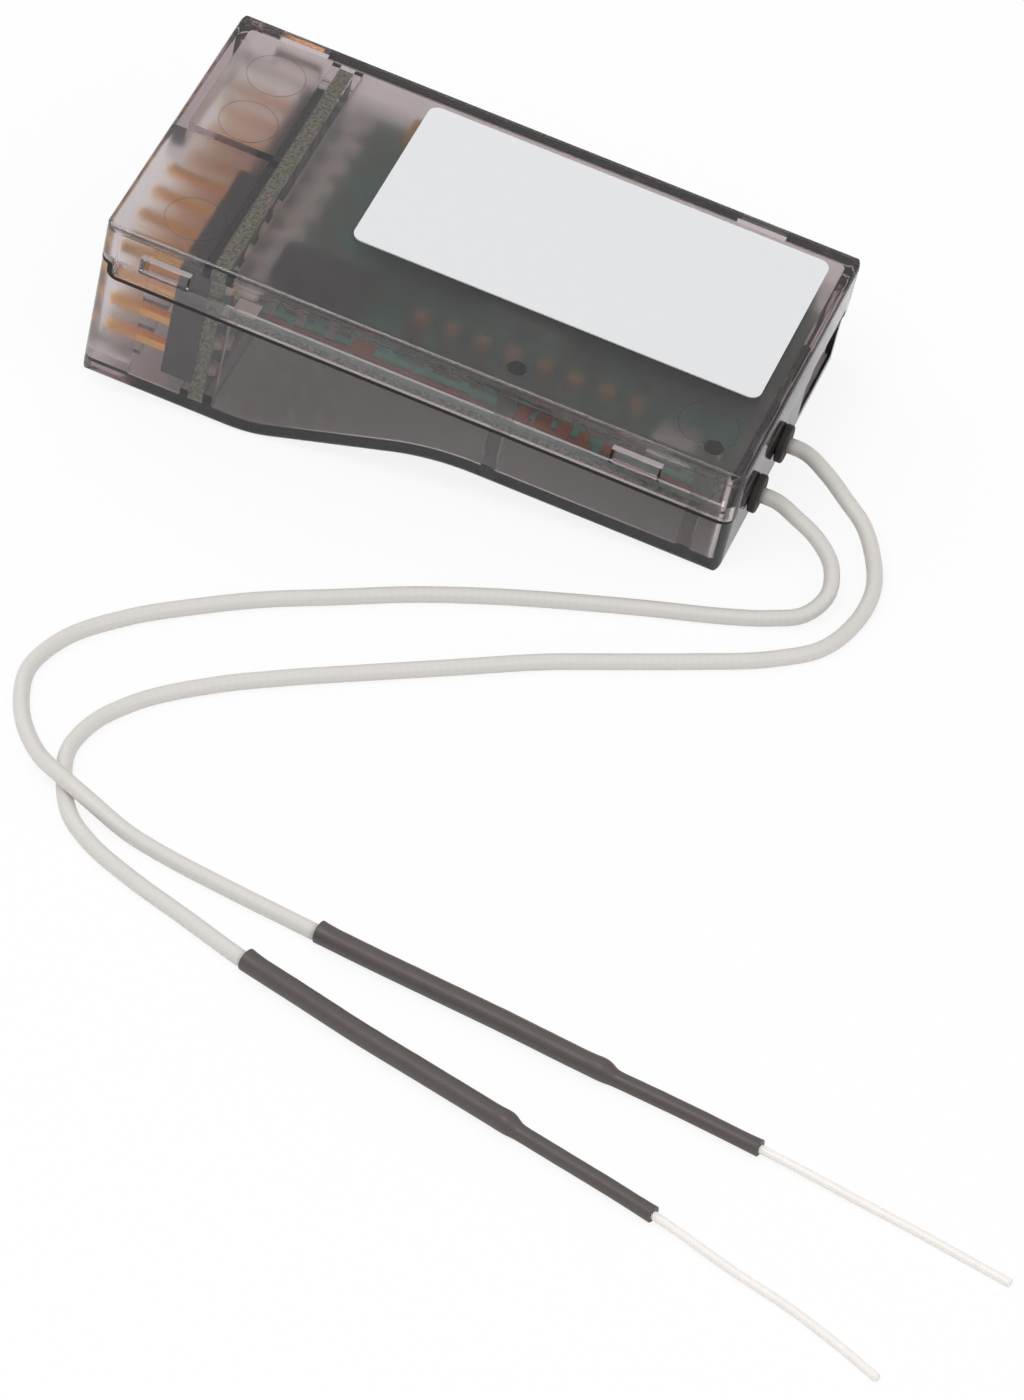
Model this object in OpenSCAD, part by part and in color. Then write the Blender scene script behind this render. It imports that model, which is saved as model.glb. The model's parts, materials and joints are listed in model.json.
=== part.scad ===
// Eight-channel radio control receiver in a smoked clear case, with two wire antennas.
// The case lies as it comes to rest: on the end of its foot and on the lower edge of its antenna end.
// Inside at_rest() the case is square to the axes: X runs from the pin end to the antenna end,
// Y is zero in the middle with the near side negative, and Z runs from the foot to the lid.

/* [Case] */
// Length of the closed case
case_len = 47.3; // [44:0.1:56]
// Width over the lid
case_w = 24.9; // [24.9:0.1:32]
// Height from the foot to the top of the lid
case_h = 14.3; // [14.3:0.1:18]
// Height of the parting line on the long sides
seam_z = 9.8; // [9.6:0.1:9.9]
// Radius of the four upright corners
corner_r = 1.0; // [0.6:0.1:2]
// Radius along the top edges of the lid
lid_edge_r = 0.5; // [0.2:0.05:0.9]
// Radius of the lower edges, under both ends and along both sides
foot_edge_r = 0.5; // [0.2:0.05:0.8]
// Thickness of the lower case's walls
wall_t = 0.85; // [0.6:0.05:1]
// Thickness of the lower case's floor
floor_t = 0.8; // [0.6:0.05:1]
// Thickness of the lid's top
lid_t = 1.0; // [0.6:0.05:1.2]
// Thickness of the lid's skirt where it laps the lower case
skirt_t = 0.5; // [0.4:0.05:0.6]
// Thickness of the lid's sides above the lap
lid_side_t = 0.95; // [0.8:0.05:1.2]
// How far the lid stands proud of the lower case
lid_proud = 0.15; // [0:0.05:0.25]

/* [Stepped underside] */
// Length of the foot, to the sharp corner before the ramp
foot_len = 12.8; // [11:0.1:14]
// Where the ramp meets the raised flat, as a sharp corner
ramp_end = 25.9; // [24:0.1:28]
// Height of the raised flat above the foot
step_h = 4.7; // [4:0.1:4.9]
// Radius between foot and ramp
foot_blend_r = 9.5; // [4:0.5:12]
// Radius between ramp and raised flat
step_blend_r = 18; // [6:0.5:20]

/* [Lap and snaps] */
// Height of the lap's lip above the parting line
lip_h = 1.1; // [0.8:0.05:1.3]
// Play between lid and lower case
case_play = 0.05; // [0.03:0.01:0.1]
// Width of a snap window
window_w = 3.7; // [3:0.1:5]
// Height of a snap window
window_h = 1.35; // [1.1:0.05:1.5]
// Distance from the pin end to the first window's middle
pin_window_x = 4.85; // [4:0.05:6]
// Distance from the antenna end to the second window's middle
antenna_window_x = 7.5; // [6:0.1:10]
// Height of the corner posts above the parting line at the pin end
post_h = 1.2; // [0.8:0.05:1.4]
// Length of the corner posts
post_len = 1.1; // [0.8:0.05:1.5]
// Radius of the two bends where the parting line steps down beside the corner posts
seam_r = 0.4; // [0.2:0.05:0.5]

/* [Ports] */
// Spacing of pins and ports
pitch = 2.54; // [2.5:0.01:2.6]
// Number of pins in a servo port
port_pins = 3; // [3:1:3]
// Height from the bay's floor to the lowest plug
port_sill = 1.53; // [1.3:0.01:1.7]
// Width of a square pin
pin_w = 0.64; // [0.5:0.01:0.7]
// How far the pin tips stand inside the case's end
pin_recess = 0.8; // [0.4:0.1:2]
// Distance from the case's end to the face of the pin blocks
bay_depth = 5.7; // [5:0.1:7]
// Thickness of the pin blocks
block_t = 2.3; // [1.8:0.1:2.6]
// Length of the pin tails behind the upright board
tail_len = 0.5; // [0.3:0.05:0.6]
// Thickness of the lid's partition between the upper halves of the bay
partition_t = 0.7; // [0.5:0.05:0.9]

/* [Boards] */
// Thickness of the upright board
upright_t = 1.0; // [0.8:0.1:1.2]
// Thickness of the main board
board_t = 0.8; // [0.6:0.1:0.8]
// Gap between the upright board and the main board
board_gap = 0.7; // [0.65:0.05:1]
// Gap between a board's edge and the case
edge_gap = 0.25; // [0.1:0.05:0.4]

/* [Antennas] */
// Diameter of the coaxial cable
cable_d = 1.13; // [1:0.01:1.3]
// Free length of the near cable, from its grommet to its sleeve
near_cable_len = 100; // [98:0.5:102]
// Free length of the far cable, from its grommet to its sleeve
far_cable_len = 97.5; // [95:0.5:99]
// Diameter of the shrink sleeve over the cable
sleeve_d = 1.5; // [1.4:0.01:1.7]
// Diameter of the shrink sleeve over the inner insulation
sleeve_thin_d = 1.12; // [1:0.01:1.2]
// Length of the sleeve's thick part
sleeve_len = 22; // [18:0.5:26]
// Length of the sleeve's thin part
sleeve_thin_len = 11; // [8:0.5:12]
// Diameter of the bare end
element_d = 0.6; // [0.4:0.05:0.8]
// Length of the bare end
element_len = 18.5; // [16:0.5:19]
// Sideways place of the near grommet
near_grommet_y = -7.25; // [-8:0.05:-6.5]
// Sideways place of the far grommet
far_grommet_y = -1.75; // [-2.5:0.05:-1]
// Diameter of a grommet's flanges
flange_d = 2.8; // [2.4:0.1:3]
// Thickness of a grommet's flanges
flange_t = 0.6; // [0.4:0.05:0.8]
// Diameter of a grommet in the wall
waist_d = 1.9; // [1.7:0.05:2.1]

/* [Voltage port] */
// Width of the opening in the antenna end
port_w = 7.0; // [6.8:0.1:7.6]
// Gap from the opening to the inside of the far wall
port_gap = 0.6; // [0.55:0.05:1.4]
// Height of the opening's sill above the raised flat
port_sill_h = 1.2; // [1.1:0.05:1.3]
// Width of the socket
socket_w = 6.4; // [6:0.1:6.6]
// Height of the socket
socket_h = 3.2; // [2.9:0.05:3.2]
// Length of the socket
socket_len = 6.5; // [5.5:0.1:8]
// Wall of the socket
socket_wall = 0.5; // [0.4:0.05:0.6]

/* [Link switch] */
// Distance of the switch from the antenna end
switch_x = 11; // [10:0.5:14]
// Sideways place of the switch
switch_y = 1.0; // [0:0.5:1.5]
// Side of the switch's body
switch_w = 4.4; // [4.2:0.1:4.6]
// Height of the switch's body
switch_h = 1.5; // [1.4:0.05:1.6]
// Diameter of the plunger
plunger_d = 2.0; // [1.6:0.1:2.2]
// Travel of the plunger
plunger_travel = 0.25; // [0.2:0.01:0.3]
// Gap round the plunger in its hole in the case
plunger_gap = 0.3; // [0.2:0.05:0.4]
// How far the plunger's end stays inside the case's surface
plunger_recess = 0.5; // [0.3:0.05:0.7]

/* [Label] */
// Length of the label
label_len = 30.3; // [28:0.1:31]
// Width of the label
label_w = 15.4; // [14:0.1:16]
// Gap from the label to the antenna end
label_gap_x = 1.8; // [1.5:0.1:3]
// Gap from the label to the far side
label_gap_y = 1.9; // [1.5:0.1:3]
// Thickness of the label
label_t = 0.1; // [0.06:0.01:0.15]
// Radius of the label's corners
label_r = 0.8; // [0.4:0.1:1.5]

/* [Hidden] */
$fn = 48;
eps = 0.01;

// Widths of the lower case, outside and inside
base_half = case_w / 2 - lid_proud;
bay_half = base_half - wall_t;
base_len = case_len - lid_proud;
end_inner_x = base_len - wall_t;
lid_under = case_h - lid_t;
lip_top = seam_z + lip_h;
lip_half = case_w / 2 - skirt_t - case_play;

// Stepped underside: slope, blends and the resting tilt, which is the line that touches both lower edges
ramp_angle = atan2(step_h, ramp_end - foot_len);
foot_blend_x = foot_len - foot_blend_r * tan(ramp_angle / 2);
step_blend_x = ramp_end + step_blend_r * tan(ramp_angle / 2);
inner_floor_z = step_h + floor_t;
rest_dx = base_len - foot_edge_r - foot_blend_x;
rest_dz = step_h + foot_edge_r - foot_blend_r;
rest_tilt = atan2(rest_dz, rest_dx) + asin((foot_blend_r - foot_edge_r) / norm([rest_dx, rest_dz]));
rest_drop = foot_blend_r - foot_blend_r * cos(rest_tilt) + foot_blend_x * sin(rest_tilt);

// Ports: as many columns as the bay takes, and the bus port over the first of them
columns = floor((2 * bay_half + eps) / pitch);
bus_columns = floor((columns * pitch / 2 - partition_t / 2 - 0.1) / pitch);
function column_y(i) = (i - (columns - 1) / 2) * pitch;
function row_z(k) = floor_t + port_sill + pitch / 2 + k * pitch;
upright_x = bay_depth + block_t;
upright_back = upright_x + upright_t;
tail_x = upright_back + tail_len;
upright_top = lid_under - 0.1;
solder_r = 0.62;
pin_hole_r = 0.5;

// Main board, hung between the second gap of the pins' rows
board_x = upright_back + board_gap;
board_end = end_inner_x - 1.1;
board_half = bay_half - edge_gap;
board_z = row_z(port_pins - 1) + pin_w / 2 + 0.15;
board_top = board_z + board_t;

// Antenna grommets, with the cables just under the main board
grommet_z = board_z - cable_d / 2 - 0.085;
dip_margin = 2;
dip_y0 = near_grommet_y - dip_margin;
dip_y1 = far_grommet_y + dip_margin;
grommet_out_x = case_len + flange_t;
grommet_in_x = end_inner_x - flange_t;
coax_end_x = board_end - 3.5;
cable_bore_gap = 0.04;
flange_edge_r = 0.15;

// Ends of the resting case along the floor: the foot's lower edge, and the lid's edge or a grommet's
function reach_at_rest(x, z, r) = x * cos(rest_tilt) + z * sin(rest_tilt) + r;
rest_low_x = foot_edge_r * (cos(rest_tilt) + sin(rest_tilt) - 1);
rest_high_x = max(reach_at_rest(case_len - lid_edge_r, case_h - lid_edge_r, lid_edge_r),
    reach_at_rest(grommet_out_x - flange_edge_r, grommet_z + flange_d / 2 - flange_edge_r, flange_edge_r));
rest_mid_x = (rest_low_x + rest_high_x) / 2;

// Voltage socket under the main board, and the opening in front of it
port_y = bay_half - port_gap - port_w / 2;
port_top = seam_z + 0.8;
socket_z = board_z - socket_h;
socket_front = end_inner_x - 0.3;
voltage_pitch = 2.5;
voltage_pin_z = socket_z + socket_h / 2;

// Snaps, ribs and posts
inner_r = 0.4;
post_top = seam_z + post_h;
tub_top = post_top + 1;
bend_steps = 10;
window_low = lip_top + 0.15;
window_top = window_low + window_h;
window_places = [pin_window_x, case_len - antenna_window_x];
hook_half = case_w / 2 - 0.1;
tooth_start = 0.4;
tooth_len = 3;
tooth_w = 0.8;
tooth_h = 1.0;
rib_t = 0.6;
rib_lap = 0.65;
slot_h = 0.8;
post_w = 1.0;
post_reach = 0.6;
post_places = [ramp_end + 3.4, board_end - 1.4];
peg_d = 1.4;
peg_y = board_half - 1.1;
groove = 0.4;
ejector_r = 2.1;
ejector_depth = 0.05;
ejector_y = case_w / 2 - 4.2;
ejector_places = [[4.4, ejector_y - 0.3], [4.5, 2.6], [5.1, -ejector_y - 0.1],
    [case_len - 4.05, -ejector_y], [case_len - 4.05, ejector_y]];

// Pins, solder and the voltage pins
solder_tip_r = 0.48;
bridge_len = 1.5;
bridge_r = 0.45;
all_pins = [for (k = [0 : port_pins], i = [0 : (k < port_pins ? columns : bus_columns) - 1])
    [column_y(i), row_z(k)]];
voltage_pin_ys = [port_y - voltage_pitch / 2, port_y + voltage_pitch / 2];
voltage_leg_x = socket_front - socket_len - 0.8;

// Link switch under the main board
switch_cx = case_len - switch_x;
switch_z = board_z - switch_h;
switch_cover_t = 0.2;
collar_d = plunger_d + 1.1;
collar_t = 0.3;
cavity_h = 1.1;
plunger_tip = step_h + plunger_recess;
collar_top = switch_z + 0.02 + collar_t;
dome_t = 0.08;
dome_apex = collar_top + plunger_travel + 0.03;
dome_rise = switch_z + cavity_h - dome_apex;
dome_curve = (pow(collar_d / 2 - 0.05, 2) + pow(dome_rise, 2)) / (2 * dome_rise);
led_gap = 5.5;

// Parts on top of the main board, placed from its edges and from each other
sheet_t = 0.2;
lead_t = 0.15;
tantalum_len = 3.5;
tantalum_w = 2.8;
tantalum_h = 1.9;
tantalum_xs = [board_x + 4.5, board_x + 9.5];
tantalum_y = board_half - 0.4 - tantalum_w;
cpu_w = 7;
cpu_h = 1.3;
cpu_leads = 8;
cpu_reach = 1;
cpu_x = board_x + 10.9;
cpu_y = tantalum_y - 0.3 - cpu_reach - cpu_w / 2;
regulator_len = 6.5;
regulator_w = 3.5;
regulator_h = 1.6;
regulator_reach = 1.7;
regulator_x = board_x + 1.35 + regulator_len / 2;
regulator_y = -board_half + 1.15 + regulator_reach + regulator_w / 2;
shield_x0 = cpu_x + cpu_w / 2 + cpu_reach + sheet_t + 0.2;
shield_len = 6.2;
shield_x1 = shield_x0 + shield_len;
shield_y0 = -board_half + 7.7;
shield_y1 = port_y - voltage_pitch / 2 - pin_w / 2 - sheet_t - 0.2;
shield_h = 1.9;
vent_d = 0.9;
radio_w = 4;
radio_h = 0.9;
inductor_w = 4;
inductor_h = 1.8;
inductor_x = board_end - 1.1 - inductor_w / 2;
inductor_y = shield_y0 + inductor_w / 2;
crystal_len = 3.2;
crystal_w = 2.5;
crystal_h = 0.75;
crystal_x = board_end - 2.3 - crystal_len;
crystal_y = -board_half + 2.2;
chip_len = 1.6;
chip_w = 0.8;
cap_len = 0.3;
chips_x = cpu_x + 1.1;
chips_end = crystal_x - chip_len;
capacitor_gap = 0.7;
capacitor_h = 0.8;
capacitors = floor((chips_end - chips_x) / (chip_len + capacitor_gap)) + 1;
capacitor_places = [for (i = [0 : capacitors - 1])
    [chips_x + (chip_len + capacitor_gap) * i, -board_half + 5, capacitor_h]];
resistor_gap = 1;
resistor_h = 0.5;
resistors = floor((chips_end - chips_x) / (chip_len + resistor_gap)) + 1;
resistor_places = [for (i = [0 : resistors - 1])
    [chips_x + (chip_len + resistor_gap) * i, -board_half + 2.8, resistor_h]];

// Routes of the two antennas over the floor, as [x, y, lift of the underside]
near_route = [[27, -8, 2.6], [29, -9, 2.1], [30.5, -10.5, 1.5], [31, -12.5, 0.8], [30, -14.5, 0.3],
    [28, -15.5, 0.1], [25, -16.5, 0], [19.5, -18, 0], [14.5, -19.5, 0], [10, -21, 0], [5, -23, 0],
    [0, -25.5, 0], [-4, -27.5, 0], [-8, -30, 0], [-12, -33, 0], [-15, -36.5, 0], [-16, -40, 0],
    [-15, -43.5, 0], [-12, -47.5, 0.4], [-9.5, -49.5, 1.2], [-7, -50.5, 0.8], [-4, -51.5, 0.1],
    [-0.5, -52.5, 0], [4, -53.5, 0], [9, -54.5, 0], [14, -55.5, 0], [19.5, -56.5, 0], [25, -57.5, 0],
    [30, -58.5, 0], [38.5, -60, 0], [43.5, -61, 0], [46, -61.5, 0], [50.5, -62.5, 0], [55, -63.5, 0],
    [59, -64.5, 0], [63, -65.5, 0]];
far_route = [[27.5, -3, 2.6], [29.5, -4.5, 2.1], [31, -5.5, 1.5], [32.5, -7.5, 0.8], [33.5, -10, 0.3],
    [33.5, -13, 0], [32, -17, 0], [29.5, -19, 0], [24.5, -21.5, 0], [20, -23.5, 0], [15.5, -25.5, 0],
    [10, -28.5, 0], [4.5, -31.5, 0], [0, -34, 0], [-4, -36.5, 0], [-8.5, -40.5, 0], [-10, -43, 0],
    [-10.5, -46, 0], [-9.5, -49, 0], [-8, -51.5, 0], [-5.5, -53.5, 0], [-2.5, -55, 0], [2.5, -57, 0],
    [7.5, -59, 0], [12, -60.5, 0], [16.5, -62, 0], [21.5, -63.5, 0], [26.5, -65, 0], [31.5, -66.5, 0],
    [36.5, -68, 0], [41, -69.5, 0], [45, -71, 0], [49.5, -72.5, 0], [53, -74, 0], [57, -76, 0]];
steps_per_span = 8;
cord_sides = 8;
neck_len = 1;

// Colours
smoke = [0.45, 0.42, 0.44, 0.55];
black = [0.16, 0.15, 0.16];
board_green = [0.16, 0.33, 0.27];
gold = [0.85, 0.62, 0.3];
tin = [0.78, 0.78, 0.76];
ceramic_tan = [0.72, 0.6, 0.45];
coax_grey = [0.78, 0.76, 0.73];

// Puts the square case down in its resting place
module at_rest()
    translate([-rest_mid_x, 0, rest_drop]) rotate([0, rest_tilt, 0]) children();

function rested(p) = [p[0] * cos(rest_tilt) + p[2] * sin(rest_tilt) - rest_mid_x, p[1],
    p[2] * cos(rest_tilt) - p[0] * sin(rest_tilt) + rest_drop];

// Plain shapes
module block(low, high) translate(low) cube(high - low);

module rounded_rect(x0, x1, y0, y1, r) {
    translate([x0 + r, y0]) square([x1 - x0 - 2 * r, y1 - y0]);
    translate([x0, y0 + r]) square([x1 - x0, y1 - y0 - 2 * r]);
    for (x = [x0 + r, x1 - r], y = [y0 + r, y1 - r]) translate([x, y]) circle(r);
}

// Upright prism with rounded corners
module slab(x0, x1, y0, y1, z0, z1, r)
    translate([0, 0, z0]) linear_extrude(z1 - z0) rounded_rect(x0, x1, y0, y1, r);

// A view from the side, drawn in X and Z, made as wide as the case
module side_view(half) translate([0, half, 0]) rotate([90, 0, 0]) linear_extrude(2 * half) children();

// A view from the end, drawn in Y and Z, made as long as asked
module end_view(x0, x1) translate([x0, 0, 0]) rotate([90, 0, 90]) linear_extrude(x1 - x0) children();

// Mirrors what is on the near side to the far side too
module both_sides() for (m = [0, 1]) mirror([0, m, 0]) children();

// Points along an arc in the side view
function bend(middle, r, from, to) = [for (k = [0 : bend_steps])
    let (a = from + (to - from) * k / bend_steps) middle + r * [cos(a), sin(a)]];

// The underside's line in the side view: foot, bend, ramp, bend and raised flat, lifted as asked
function underside(x0, x1, lift) = concat([[x0, lift]],
    bend([foot_blend_x, foot_blend_r], foot_blend_r - lift, -90, ramp_angle - 90),
    bend([step_blend_x, step_h - step_blend_r], step_blend_r + lift, 90 + ramp_angle, 90),
    [[x1, step_h + lift]]);

// All that lies above the underside's line, as a row of sections that are rounded along both lower edges
module stepped_tub(x0, x1, half, lift, r) {
    corner = bend([r - half, r], r, 180, 270);
    keep = [for (k = [0 : bend_steps]) if (k % 2 == 0) corner[k]];
    edge = concat(keep, [for (k = [len(keep) - 1 : -1 : 0]) [-keep[k][0], keep[k][1]]]);
    line = underside(x0, x1, lift);
    n = len(edge) + 2;
    last = (len(line) - 1) * n;
    points = [for (p = line) each concat([[p[0], -half, tub_top]], [for (e = edge) [p[0], e[0], p[1] + e[1]]],
        [[p[0], half, tub_top]])];
    polyhedron(points, concat([[for (j = [0 : n - 1]) j], [for (j = [n - 1 : -1 : 0]) last + j]],
        [for (i = [0 : len(line) - 2], j = [0 : n - 1]) let (k = (j + 1) % n, a = i * n)
            [a + j, a + n + j, a + n + k, a + k]]));
}

// The parting line in the side view: over the corner post, down through two bends, and level to the end,
// lifted by the play for the lid
function seam_line(x1, play) = concat([[-1, post_top + play]],
    bend([post_len - seam_r, post_top - seam_r], seam_r + play, 90, 0),
    bend([post_len + seam_r, seam_z + seam_r], seam_r - play, 180, 270), [[x1, seam_z + play]]);

// Outline of the lower case seen from the side, rounded under both ends
module base_profile(high) {
    r = foot_edge_r;
    translate([r, 0]) square([base_len - 2 * r, high]);
    translate([0, r]) square([2 * r, high - r]);
    translate([base_len - 2 * r, step_h + r]) square([2 * r, high - step_h - r]);
    translate([r, r]) circle(r);
    translate([base_len - r, step_h + r]) circle(r);
}

// Lower case: the stepped tub, open at the top and at the pin end
module lower_case() color(smoke) at_rest() difference() {
    union() {
        base_shell();
        base_lip();
        snap_tongues();
        bay_comb();
        board_slot();
        board_posts();
    }
    port_opening(seam_z + lip_h + 1);
    grommet_seats();
    translate([switch_cx, switch_y, step_h - 1]) cylinder(h = floor_t + 2, d = plunger_d + 2 * plunger_gap);
}

module base_shell() difference() {
    intersection() {
        stepped_tub(-1, case_len + 1, base_half, 0, foot_edge_r);
        slab(0, base_len, -base_half, base_half, -1, post_top, corner_r);
        side_view(base_half + 1) base_profile(post_top);
    }
    base_cavity();
    side_view(case_w) polygon(concat(seam_line(case_len + 1, 0), [[case_len + 1, case_h], [-1, case_h]]));
    block([end_inner_x - 1, dip_y0, grommet_z], [case_len + 1, dip_y1, case_h]);
}

// The hollow runs out through the pin end
module base_cavity() intersection() {
    stepped_tub(-2, case_len + 1, bay_half, floor_t, edge_gap);
    slab(-4, end_inner_x, -bay_half, bay_half, 0, case_h + 2, inner_r);
}

// Thin lip inside the lid's skirt, along both sides and the antenna end
module base_lip() difference() {
    slab(post_len, case_len - skirt_t - case_play, -lip_half, lip_half, seam_z - 0.1, lip_top, inner_r + 0.3);
    slab(-4, end_inner_x, -bay_half, bay_half, seam_z - 1, lip_top + 1, inner_r);
    block([end_inner_x - 1, dip_y0, 0], [case_len + 1, dip_y1, case_h]);
}

// Springy tongues that rise from the lip, each with a wedge that catches in the lid's window
module snap_tongues() both_sides() for (x = window_places) {
    half = window_w / 2 - 0.2;
    block([x - half, -lip_half, seam_z], [x + half, -bay_half, window_top - 0.1]);
    end_view(x - half, x + half) polygon([[-lip_half + 0.1, window_low + 0.05], [-hook_half, window_low + 0.05],
        [-hook_half, window_low + 0.35], [-lip_half, window_top - 0.1], [-lip_half + 0.1, window_top - 0.1]]);
}

// Low teeth on the bay's floor, which key the plugs
module bay_comb() for (i = [0 : columns]) {
    y = (i - columns / 2) * pitch;
    block([tooth_start, max(y - tooth_w / 2, -bay_half - 0.1), floor_t - 0.1],
        [tooth_start + tooth_len, min(y + tooth_w / 2, bay_half + 0.1), floor_t + tooth_h]);
}

// Ribs that hold the upright board: two across the floor, and one behind it on each wall
module board_slot() {
    for (x = [upright_x - case_play - rib_t, upright_back + case_play])
        block([x, -bay_half - 0.1, floor_t - 0.1], [x + rib_t, bay_half + 0.1, floor_t + slot_h]);
    both_sides() block([upright_back + case_play, -bay_half - 0.1, floor_t - 0.1],
        [board_x + 0.1, -bay_half + post_reach, board_z]);
}

// Upright posts on the long walls, which carry the main board
module board_posts() both_sides() for (x = post_places)
    block([x, -bay_half - 0.1, inner_floor_z - 0.1], [x + post_w, -bay_half + post_reach, board_z]);

// Opening in front of the voltage socket, up to the height asked
module port_opening(top)
    block([end_inner_x - 1, port_y - port_w / 2, step_h + port_sill_h],
        [case_len + 1, port_y + port_w / 2, top]);

// Round seats for the grommets, half in each case
module grommet_seats() for (y = [near_grommet_y, far_grommet_y])
    translate([end_inner_x - 1, y, grommet_z]) rotate([0, 90, 0]) cylinder(h = 4, d = waist_d);

// Upper case: a lid with a skirt that laps the lower case, open over the near half of the bay
module upper_case() color(smoke) at_rest() {
    difference() {
        lid_shell();
        grommet_seats();
        port_opening(port_top);
        both_sides() for (x = window_places) snap_window(x);
        for (p = ejector_places)
            translate([p[0], p[1], lid_under - 1]) cylinder(h = 1 + ejector_depth, r = ejector_r);
    }
    lid_partition();
    lid_ribs();
    hold_down_pegs();
}

module lid_shell() difference() {
    intersection() {
        slab(0, case_len, -case_w / 2, case_w / 2, grommet_z, case_h, corner_r);
        side_view(case_w) rounded_rect(0, case_len, 0, case_h, lid_edge_r);
        end_view(-1, case_len + 1) rounded_rect(-case_w / 2, case_w / 2, 0, case_h, lid_edge_r);
    }
    slab(lid_side_t, case_len - skirt_t, skirt_t - case_w / 2, case_w / 2 - skirt_t, seam_z + case_play,
        lip_top + case_play, corner_r - skirt_t + 0.1);
    slab(lid_side_t, case_len - lid_side_t, lid_side_t - case_w / 2, case_w / 2 - lid_side_t, lip_top,
        lid_under, inner_r);
    block([-1, -bay_half, 0], [lid_side_t + 1, -partition_t / 2, lid_under]);
    side_view(case_w) polygon(concat(seam_line(end_inner_x, case_play), [[end_inner_x, 0], [-1, 0]]));
    block([end_inner_x - 1, -case_w, 0], [case_len + 1, dip_y0 + case_play, seam_z + case_play]);
    block([end_inner_x - 1, dip_y1 - case_play, 0], [case_len + 1, case_w, seam_z + case_play]);
}

// Window through the skirt, and the pocket inside it for the tongue
module snap_window(x) {
    block([x - window_w / 2, -case_w, window_low], [x + window_w / 2, -bay_half, window_top]);
    block([x - window_w / 2, -lip_half - case_play, lip_top - 0.1], [x + window_w / 2, -bay_half, window_top]);
}

module lid_partition()
    block([0, -partition_t / 2, row_z(port_pins) - pitch / 2 + 0.15],
        [upright_x - case_play, partition_t / 2, lid_under + 0.1]);

// Two ribs over the top edge of the upright board
module lid_ribs() for (x = [upright_x - case_play - rib_t, upright_back + case_play])
    block([x, lid_side_t - case_w / 2 - 0.1, upright_top - rib_lap],
        [x + rib_t, case_w / 2 - lid_side_t + 0.1, lid_under + 0.1]);

// Pegs that press the main board down on the posts
module hold_down_pegs() for (x = post_places, y = [-peg_y, peg_y])
    translate([x + post_w / 2, y, board_top]) cylinder(h = lid_under - board_top + 0.1, d = peg_d);

// Bare label on the lid
module label() color([0.88, 0.89, 0.9]) at_rest()
    slab(case_len - label_gap_x - label_len, case_len - label_gap_x, case_w / 2 - label_gap_y - label_w,
        case_w / 2 - label_gap_y, case_h, case_h + label_t, label_r);

// Main board, with two holes for the voltage pins
module main_board() color(board_green) at_rest() difference() {
    slab(board_x, board_end, -board_half, board_half, board_z, board_top, 0.5);
    for (y = voltage_pin_ys)
        translate([voltage_leg_x, y, board_z - 1]) cylinder(h = board_t + 2, r = pin_hole_r);
}

// Upright board, which closes the bay and carries every pin
module upright_board() color(board_green) at_rest() difference() {
    block([upright_x, -board_half, floor_t], [upright_back, board_half, upright_top]);
    for (p = all_pins)
        translate([upright_x - 1, p[0], p[1]]) rotate([0, 90, 0]) cylinder(h = upright_t + 2, r = pin_hole_r);
}

// Moulded strip of square holes, with a groove between neighbours along its top and bottom
module pin_block(first, last, low_row, high_row) difference() {
    y0 = column_y(first) - pitch / 2;
    y1 = column_y(last) + pitch / 2;
    z0 = row_z(low_row) - pitch / 2;
    z1 = row_z(high_row) + pitch / 2;
    block([bay_depth, y0, z0], [upright_x, y1, z1]);
    for (i = [first : last], k = [low_row : high_row])
        translate([bay_depth - 1, column_y(i) - pin_w / 2, row_z(k) - pin_w / 2])
            cube([block_t + 2, pin_w, pin_w]);
    if (last > first) for (i = [first : last - 1], z = [z0, z1])
        translate([bay_depth - 1, column_y(i) + pitch / 2, z]) rotate([45, 0, 0])
            translate([0, -groove / 2, -groove / 2]) cube([block_t + 2, groove, groove]);
}

module servo_header() color(black) at_rest() pin_block(0, columns - 1, 0, port_pins - 1);
module bus_header() color(black) at_rest() pin_block(0, bus_columns - 1, port_pins, port_pins);

// One square pin with chamfered ends
module pin(y, z) intersection() {
    side_view(case_w) pin_outline(z);
    linear_extrude(case_h) pin_outline(y);
    block([0, y - pin_w / 2, z - pin_w / 2], [tail_x, y + pin_w / 2, z + pin_w / 2]);
}

module pin_outline(middle) {
    half = pin_w / 2;
    tip = half / 2;
    polygon([[pin_recess, middle - tip], [pin_recess + half, middle - half], [tail_x, middle - half],
        [tail_x, middle + half], [pin_recess + half, middle + half], [pin_recess, middle + tip]]);
}

module pin_row(k, count) color(gold) at_rest() for (i = [0 : count - 1]) pin(column_y(i), row_z(k));

module signal_pins() pin_row(2, columns);
module power_pins() pin_row(1, columns);
module ground_pins() pin_row(0, columns);
module bus_pins() pin_row(port_pins, bus_columns);

// Solder cone round each pin tail
module pin_solder() color(tin) at_rest() for (p = all_pins) difference() {
    translate([upright_back, p[0], p[1]]) rotate([0, 90, 0])
        cylinder(h = tail_len - 0.1, r1 = solder_r, r2 = solder_tip_r);
    block([upright_x, p[0] - pin_w / 2, p[1] - pin_w / 2], [tail_x + 1, p[0] + pin_w / 2, p[1] + pin_w / 2]);
}

// Solder bridges that join the two boards, between the columns of pins
module bridge_solder() color(tin) at_rest() for (i = [0 : columns - 2]) difference() {
    translate([upright_back, column_y(i) + pitch / 2, board_top + 0.1]) rotate([0, 90, 0]) {
        cylinder(h = bridge_len, r = bridge_r);
        translate([0, 0, bridge_len]) sphere(bridge_r);
    }
    block([board_x, -case_w, 0], [case_len, case_w, board_top]);
}

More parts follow.
